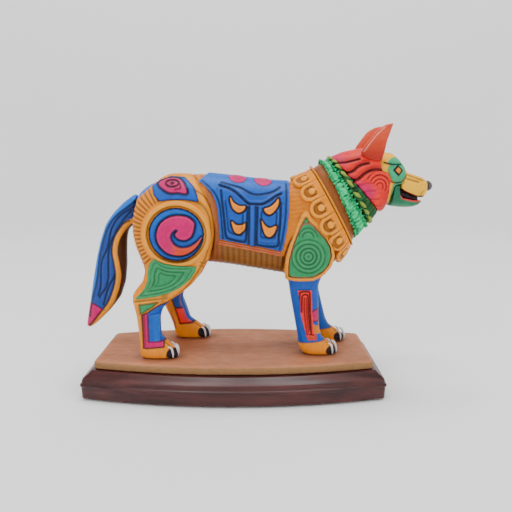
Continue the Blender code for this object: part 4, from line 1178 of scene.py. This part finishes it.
def make_head():
    head = Carving("head", 0.45, FACE, 0, 30)
    strip = np.array(((132, 178), (130.4, 172), (129.8, 166), (130.2, 150), (137, 150), (136.6, 164.4),
                      (135.4, 168),
                      (137, 173.8), (139.5, 176.4)))
    head.fill(head.inside(strip), TEAL)
    head.outline(smooth_line(strip, True), 0.5, 0.5, 0.3)
    head.cut(smooth_line(((122.9, 192.3), (126.7, 191.2), (131.4, 190.9), (135.8, 190.8))), 0.6, 0.5, 0.85)
    for path in (((143.2, 182.2), (148.5, 180.6), (154.1, 178.6), (157.6, 177.4)),
                 ((141.8, 179.3), (147.3, 177.9), (153.6, 176.2))):
        head.cut(smooth_line(path), 0.55, 0.45, 0.5)
        head.swell(smooth_line(path) + np.array((0.2, -1.3)), 0.7, 0.25, 0.3)
    lip = smooth_line(((136.6, 168.2), (138.6, 170.6), (140.6, 169.4), (146, 166.8), (152.8, 164.1),
                       (158, 163.4), (162, 163.6)))
    # Inside of the open mouth painted black: painted shade.
    facing_down = 1 - ramp(head.normals[:, 2], -0.75, -0.5)
    mouth = facing_down * ramp(head.x, 136, 138) * (1 - ramp(head.z, 170, 172))
    head.fill(mouth * (1 - ramp(head.x, 159, 161)), INK)
    head.fill(head.near(lip, 0.55) * 0.8, DEEP_RED * 0.6)
    brow = smooth_line(((125.6, 191.6), (127.6, 194.6), (130.6, 196.2), (136, 196.6), (140.5, 192),
                       (139, 189.6), (131, 190)), True)
    head.fill(head.inside(brow), TEAL)
    head.cut(ring(MASK_CENTRE, (9.0, 9.0), 195, 345), 0.5, 0.4, 0.85)
    head.fill(ramp(head.x, 141, 150) * ramp(head.z, 172, 180) * 0.35, PALE_GOLD)
    head.cut(smooth_line(((156.5, 165), (157, 167.4), (158.6, 168.6))), 0.5, 0.4, 0.4)
    head.finish("carved_head", FACE_PAINT, "gold_paint")

    # The jaw is painted a darker teal than the mask, and darker again towards the bottom: painted shade
    # under the head.
    jaw = Carving("lower_jaw", 0.45, TEAL * 0.35, 0, 7)
    jaw.fill(0.6 * (1 - ramp(jaw.z, 156, 163)), SEA_GREEN)
    # Inside of the mouth on the jaw painted black: painted shade.
    top = ramp(jaw.normals[:, 2], 0.6, 0.85) * ramp(jaw.x, 137, 139)
    jaw.fill(top, INK)
    lips = smooth_line(((138.3, 165), (140.3, 162.9), (150.1, 160.7), (157, 160.3)))
    jaw.fill(jaw.near(lips, 0.75), np.array((0.6, 0.03, 0.03)))
    jaw.swell(lips, 0.8, 0.35, 0.3)
    jaw.fill(1 - ramp(jaw.x, 128.6, 129.6), FACE)
    jaw.finish("carved_lower_jaw", TEAL_PAINT, "teal_paint")

    nose = Carving("nose", 0.3, INK, 0, 14)
    nostril = ring((165.4, 173), (1.3, 1.0))
    nose.where = nose.out
    hole = 1 - ramp(signed_distance(nostril, nose.x, nose.z), -0.4, 0.3)
    nose.lift -= 0.9 * hole * nose.where
    nose.finish("carved_nose", NOSE_GLOSS, "black_paint")


def mouth_shade_sheet():
    """Dark inside of the mouth."""
    # Black sheet in the open mouth: painted shade.
    rows = ((134.6, 166.2, 168.6, 11.0), (138.6, 163.4, 170.6, 11.0), (144.0, 161.6, 167.6, 8.6),
            (150.0, 160.2, 165.2, 6.6), (155.0, 159.6, 163.4, 4.4))
    verts, faces = [], []
    for x, low_z, high_z, wide in rows:
        verts += [(x, -wide, low_z), (x, wide, low_z), (x, wide, high_z), (x, -wide, high_z)]
    for row in range(len(rows) - 1):
        base = row * 4
        faces += [(base + turn, base + (turn + 1) % 4, base + 4 + (turn + 1) % 4, base + 4 + turn)
                  for turn in range(4)]
    faces += [(3, 2, 1, 0), (16, 17, 18, 19)]

    def shade(points):
        return np.tile(INK, (len(points), 1)), np.full(len(points), 0.4)

    plain_piece("mouth_shade_sheet", [(verts, faces)], FACE_PAINT, shade)


def make_eye(side):
    mask = Carving(f"eye_mask_{side}", 0.35, TEAL, 0, 8)
    radius = np.hypot(mask.x - MASK_CENTRE[0], mask.z - MASK_CENTRE[1])
    mask.fill(0.4 * ramp(radius, 3, 8), SEA_GREEN)
    mask.cut(smooth_line(((124, 191.6), (127.5, 190.8), (131.4, 190.7), (136.5, 190.7))), 0.45, 0.35, 0.9)
    diamond = np.array(((129.8, 186.2), (133.8, 190.2), (138.0, 186), (134.2, 181.6)))
    mask.fill(mask.inside(diamond), INK)
    mask.fill(mask.inside(scaled(diamond, 1.12)), INK)
    mask.finish(f"carved_eye_mask_{side}", TEAL_PAINT, "teal_paint")

    eye = Carving(f"eye_{side}", 0.25, CRESCENT, 0, 5)
    loop = np.array(((130.6, 186.1), (133.9, 189.3), (137.2, 186), (134.2, 182.6)))
    eye.fill(eye.near(np.vstack([loop, loop[:1]]), 0.6), INK)
    pupil = np.hypot(eye.x - EYE_CENTRE[0], eye.z - EYE_CENTRE[1])
    eye.fill((1 - ramp(pupil, 0.9, 1.5)) * 0.5, DEEP_GOLD)
    eye.finish(f"painted_eye_{side}", FACE_PAINT, "amber_paint")


# ---------------------------------------------------------------- plinth, slab and floor

def softened(node, radius, name, finish):
    """Copy of a node's solid with its sharp edges rounded."""
    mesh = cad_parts[node].data.copy()
    shape = bmesh.new()
    shape.from_mesh(mesh)
    bmesh.ops.remove_doubles(shape, verts=shape.verts, dist=2e-6)
    bmesh.ops.dissolve_limit(shape, angle_limit=math.radians(1), verts=shape.verts, edges=shape.edges)
    shape.to_mesh(mesh)
    shape.free()
    body = add_piece(name, mesh, finish, [node])
    bevel = body.modifiers.new("edges", "BEVEL")
    bevel.width = radius * MM
    bevel.segments = 3
    bevel.limit_method = "ANGLE"
    bevel.angle_limit = math.radians(30)
    mesh.set_sharp_from_angle(angle=math.radians(50))
    return body


def make_base():
    softened("plinth_board", 0.7, "moulded_plinth", MAHOGANY)
    slab = Carving("ground_slab", 1.0, TAN, 0, 6)
    swirl = np.array([noise.fractal(Vector((p[0] * 0.018, p[1] * 0.05, p[2] * 0.05)), 0.9, 2.0, 3)
                      for p in slab.points])
    slab.fill(np.clip(swirl * 0.9, 0, 0.5), TAN * 0.72)
    slab.fill(np.clip(-swirl * 0.8, 0, 0.4), TAN * 1.18)
    wall = 1 - ramp(slab.normals[:, 2], 0.45, 0.8)
    slab.fill(wall * 0.9, OLIVE)
    slab.lift += 0.25 * swirl * ramp(slab.normals[:, 2], 0.6, 0.9)
    # Darker ground round each paw: painted shadow.
    paws = ((-62, -26.5, 22), (-40, 26.5, 22), (71, -17.6, 20), (83.5, 17.6, 20))
    for centre_x, centre_y, reach_x in paws:
        gap = np.hypot((slab.points[:, 0] - centre_x) / reach_x, (slab.points[:, 1] - centre_y) / 12)
        slab.dark = np.maximum(slab.dark, 0.4 * (1 - ramp(gap, 0.7, 1.25)) * (1 - wall))
    slab.finish("painted_ground", EARTH_PAINT, "ground_paint")


def kept_node(node, finish):
    """A CAD node that stays as it is, with a better material."""
    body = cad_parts[node]
    body.data.materials.clear()
    body.data.materials.append(finish)


def make_studio():
    """White floor that curves up into a wall all around, soft lamps and a pale sky."""
    flat, bend, height, around = 1.3, 0.9, 2.2, 64
    profile = [(0.001, 0.0), (0.6, 0.0), (flat, 0.0)]
    for turn in range(1, 13):
        angle = math.radians(turn * 7.5)
        profile.append((flat + bend * math.sin(angle), bend - bend * math.cos(angle)))
    profile.append((flat + bend, height))
    verts, faces = [], []
    for radius, up in profile:
        for turn in range(around):
            angle = math.tau * turn / around
            verts.append((radius * math.cos(angle), radius * math.sin(angle), up - 0.0002))
    for row in range(len(profile) - 1):
        for turn in range(around):
            after = (turn + 1) % around
            faces.append((row * around + turn, row * around + after,
                          (row + 1) * around + after, (row + 1) * around + turn)[::-1])
    faces.append(tuple(range(around)))
    mesh = bpy.data.meshes.new("studio_floor")
    mesh.from_pydata(verts, [], faces)
    mesh.shade_smooth()
    finish, tree, shader = new_material("studio_floor")
    shader.inputs["Base Color"].default_value = (0.93, 0.93, 0.93, 1)
    shader.inputs["Roughness"].default_value = 0.9
    shader.inputs["Specular IOR Level"].default_value = 0.1
    mesh.materials.append(finish)
    ground = bpy.data.objects.new("studio_floor", mesh)
    bpy.context.scene.collection.objects.link(ground)
    world = bpy.data.worlds.new("studio")
    bpy.context.scene.world = world
    world.use_nodes = True
    world.node_tree.nodes["Background"].inputs["Color"].default_value = (1, 1, 1, 1)
    world.node_tree.nodes["Background"].inputs["Strength"].default_value = 0.2
    lamps = [
        ("key", (-0.45, -0.85, 0.95), (0.015, 0, 0.1), 0.6, 2.5),
        ("fill", (0.8, -0.7, 0.5), (0.015, 0, 0.1), 0.8, 0.7),
        ("top", (0.1, 0.05, 1.1), (0.015, 0, 0.1), 0.8, 1.2)]
    for turn in range(4):
        angle = math.radians(45 + 90 * turn)
        out = (math.cos(angle), math.sin(angle))
        lamps.append((f"wall_{turn}", (out[0] * 0.5, out[1] * 0.5, 1.9),
                      (out[0] * 2.2, out[1] * 2.2, 0.5), 0.6, 19.0))
    for name, place, target, size, power in lamps:
        data = bpy.data.lights.new(name, "AREA")
        data.shape = "SQUARE"
        data.size = size
        data.energy = power
        lamp = bpy.data.objects.new(name, data)
        lamp.location = place
        aim = Vector(target) - lamp.location
        lamp.rotation_euler = aim.to_track_quat("-Z", "Y").to_euler()
        bpy.context.scene.collection.objects.link(lamp)


def make_camera():
    data = bpy.data.cameras.new("camera")
    data.lens = 36.5625
    data.sensor_width = 36.0
    camera = bpy.data.objects.new("camera", data)
    camera.location = (0.018606, -0.444832, 0.192328)
    camera.rotation_euler = (math.radians(90 - 10.2006), 0, 0)
    bpy.context.scene.collection.objects.link(camera)
    bpy.context.scene.camera = camera


def main():
    make_camera()
    make_studio()
    make_base()
    make_torso()
    make_saddle()
    make_tail()
    make_collar()
    make_ruff()
    ruff_leaves()
    make_hood()
    make_head()
    mouth_shade_sheet()
    for side, sign in SIDES.items():
        hind_leg(side)
        hip_relief(side)
        rump_relief(side)
        thigh_relief(side)
        saddle_trim(side)
        shoulder_relief(side)
        fore_leg(side)
        foreleg_relief(side)
        make_ear(side)
        make_eye(side)
        hind_ahead = HIND_STEP if sign > 0 else 0
        fore_ahead = FORE_STEP if sign > 0 else 0
        claws(f"hind_claws_{side}", -46.5 + hind_ahead, 26.5 * sign)
        claws(f"fore_claws_{side}", 87.6 + fore_ahead, 17.6 * sign)
    beech = bare_beech()
    dowels = ("hip_dowel", "shoulder_dowel", "neck_dowel", "tail_dowel", "ear_peg_right", "ear_peg_left")
    for node in dowels:
        kept_node(node, beech)
    steel = zinc_steel()
    for leg in ("hind", "fore"):
        for side in SIDES:
            kept_node(f"base_screw_{leg}_{side}", steel)
    kept_node("felt_pad", green_felt())


main()
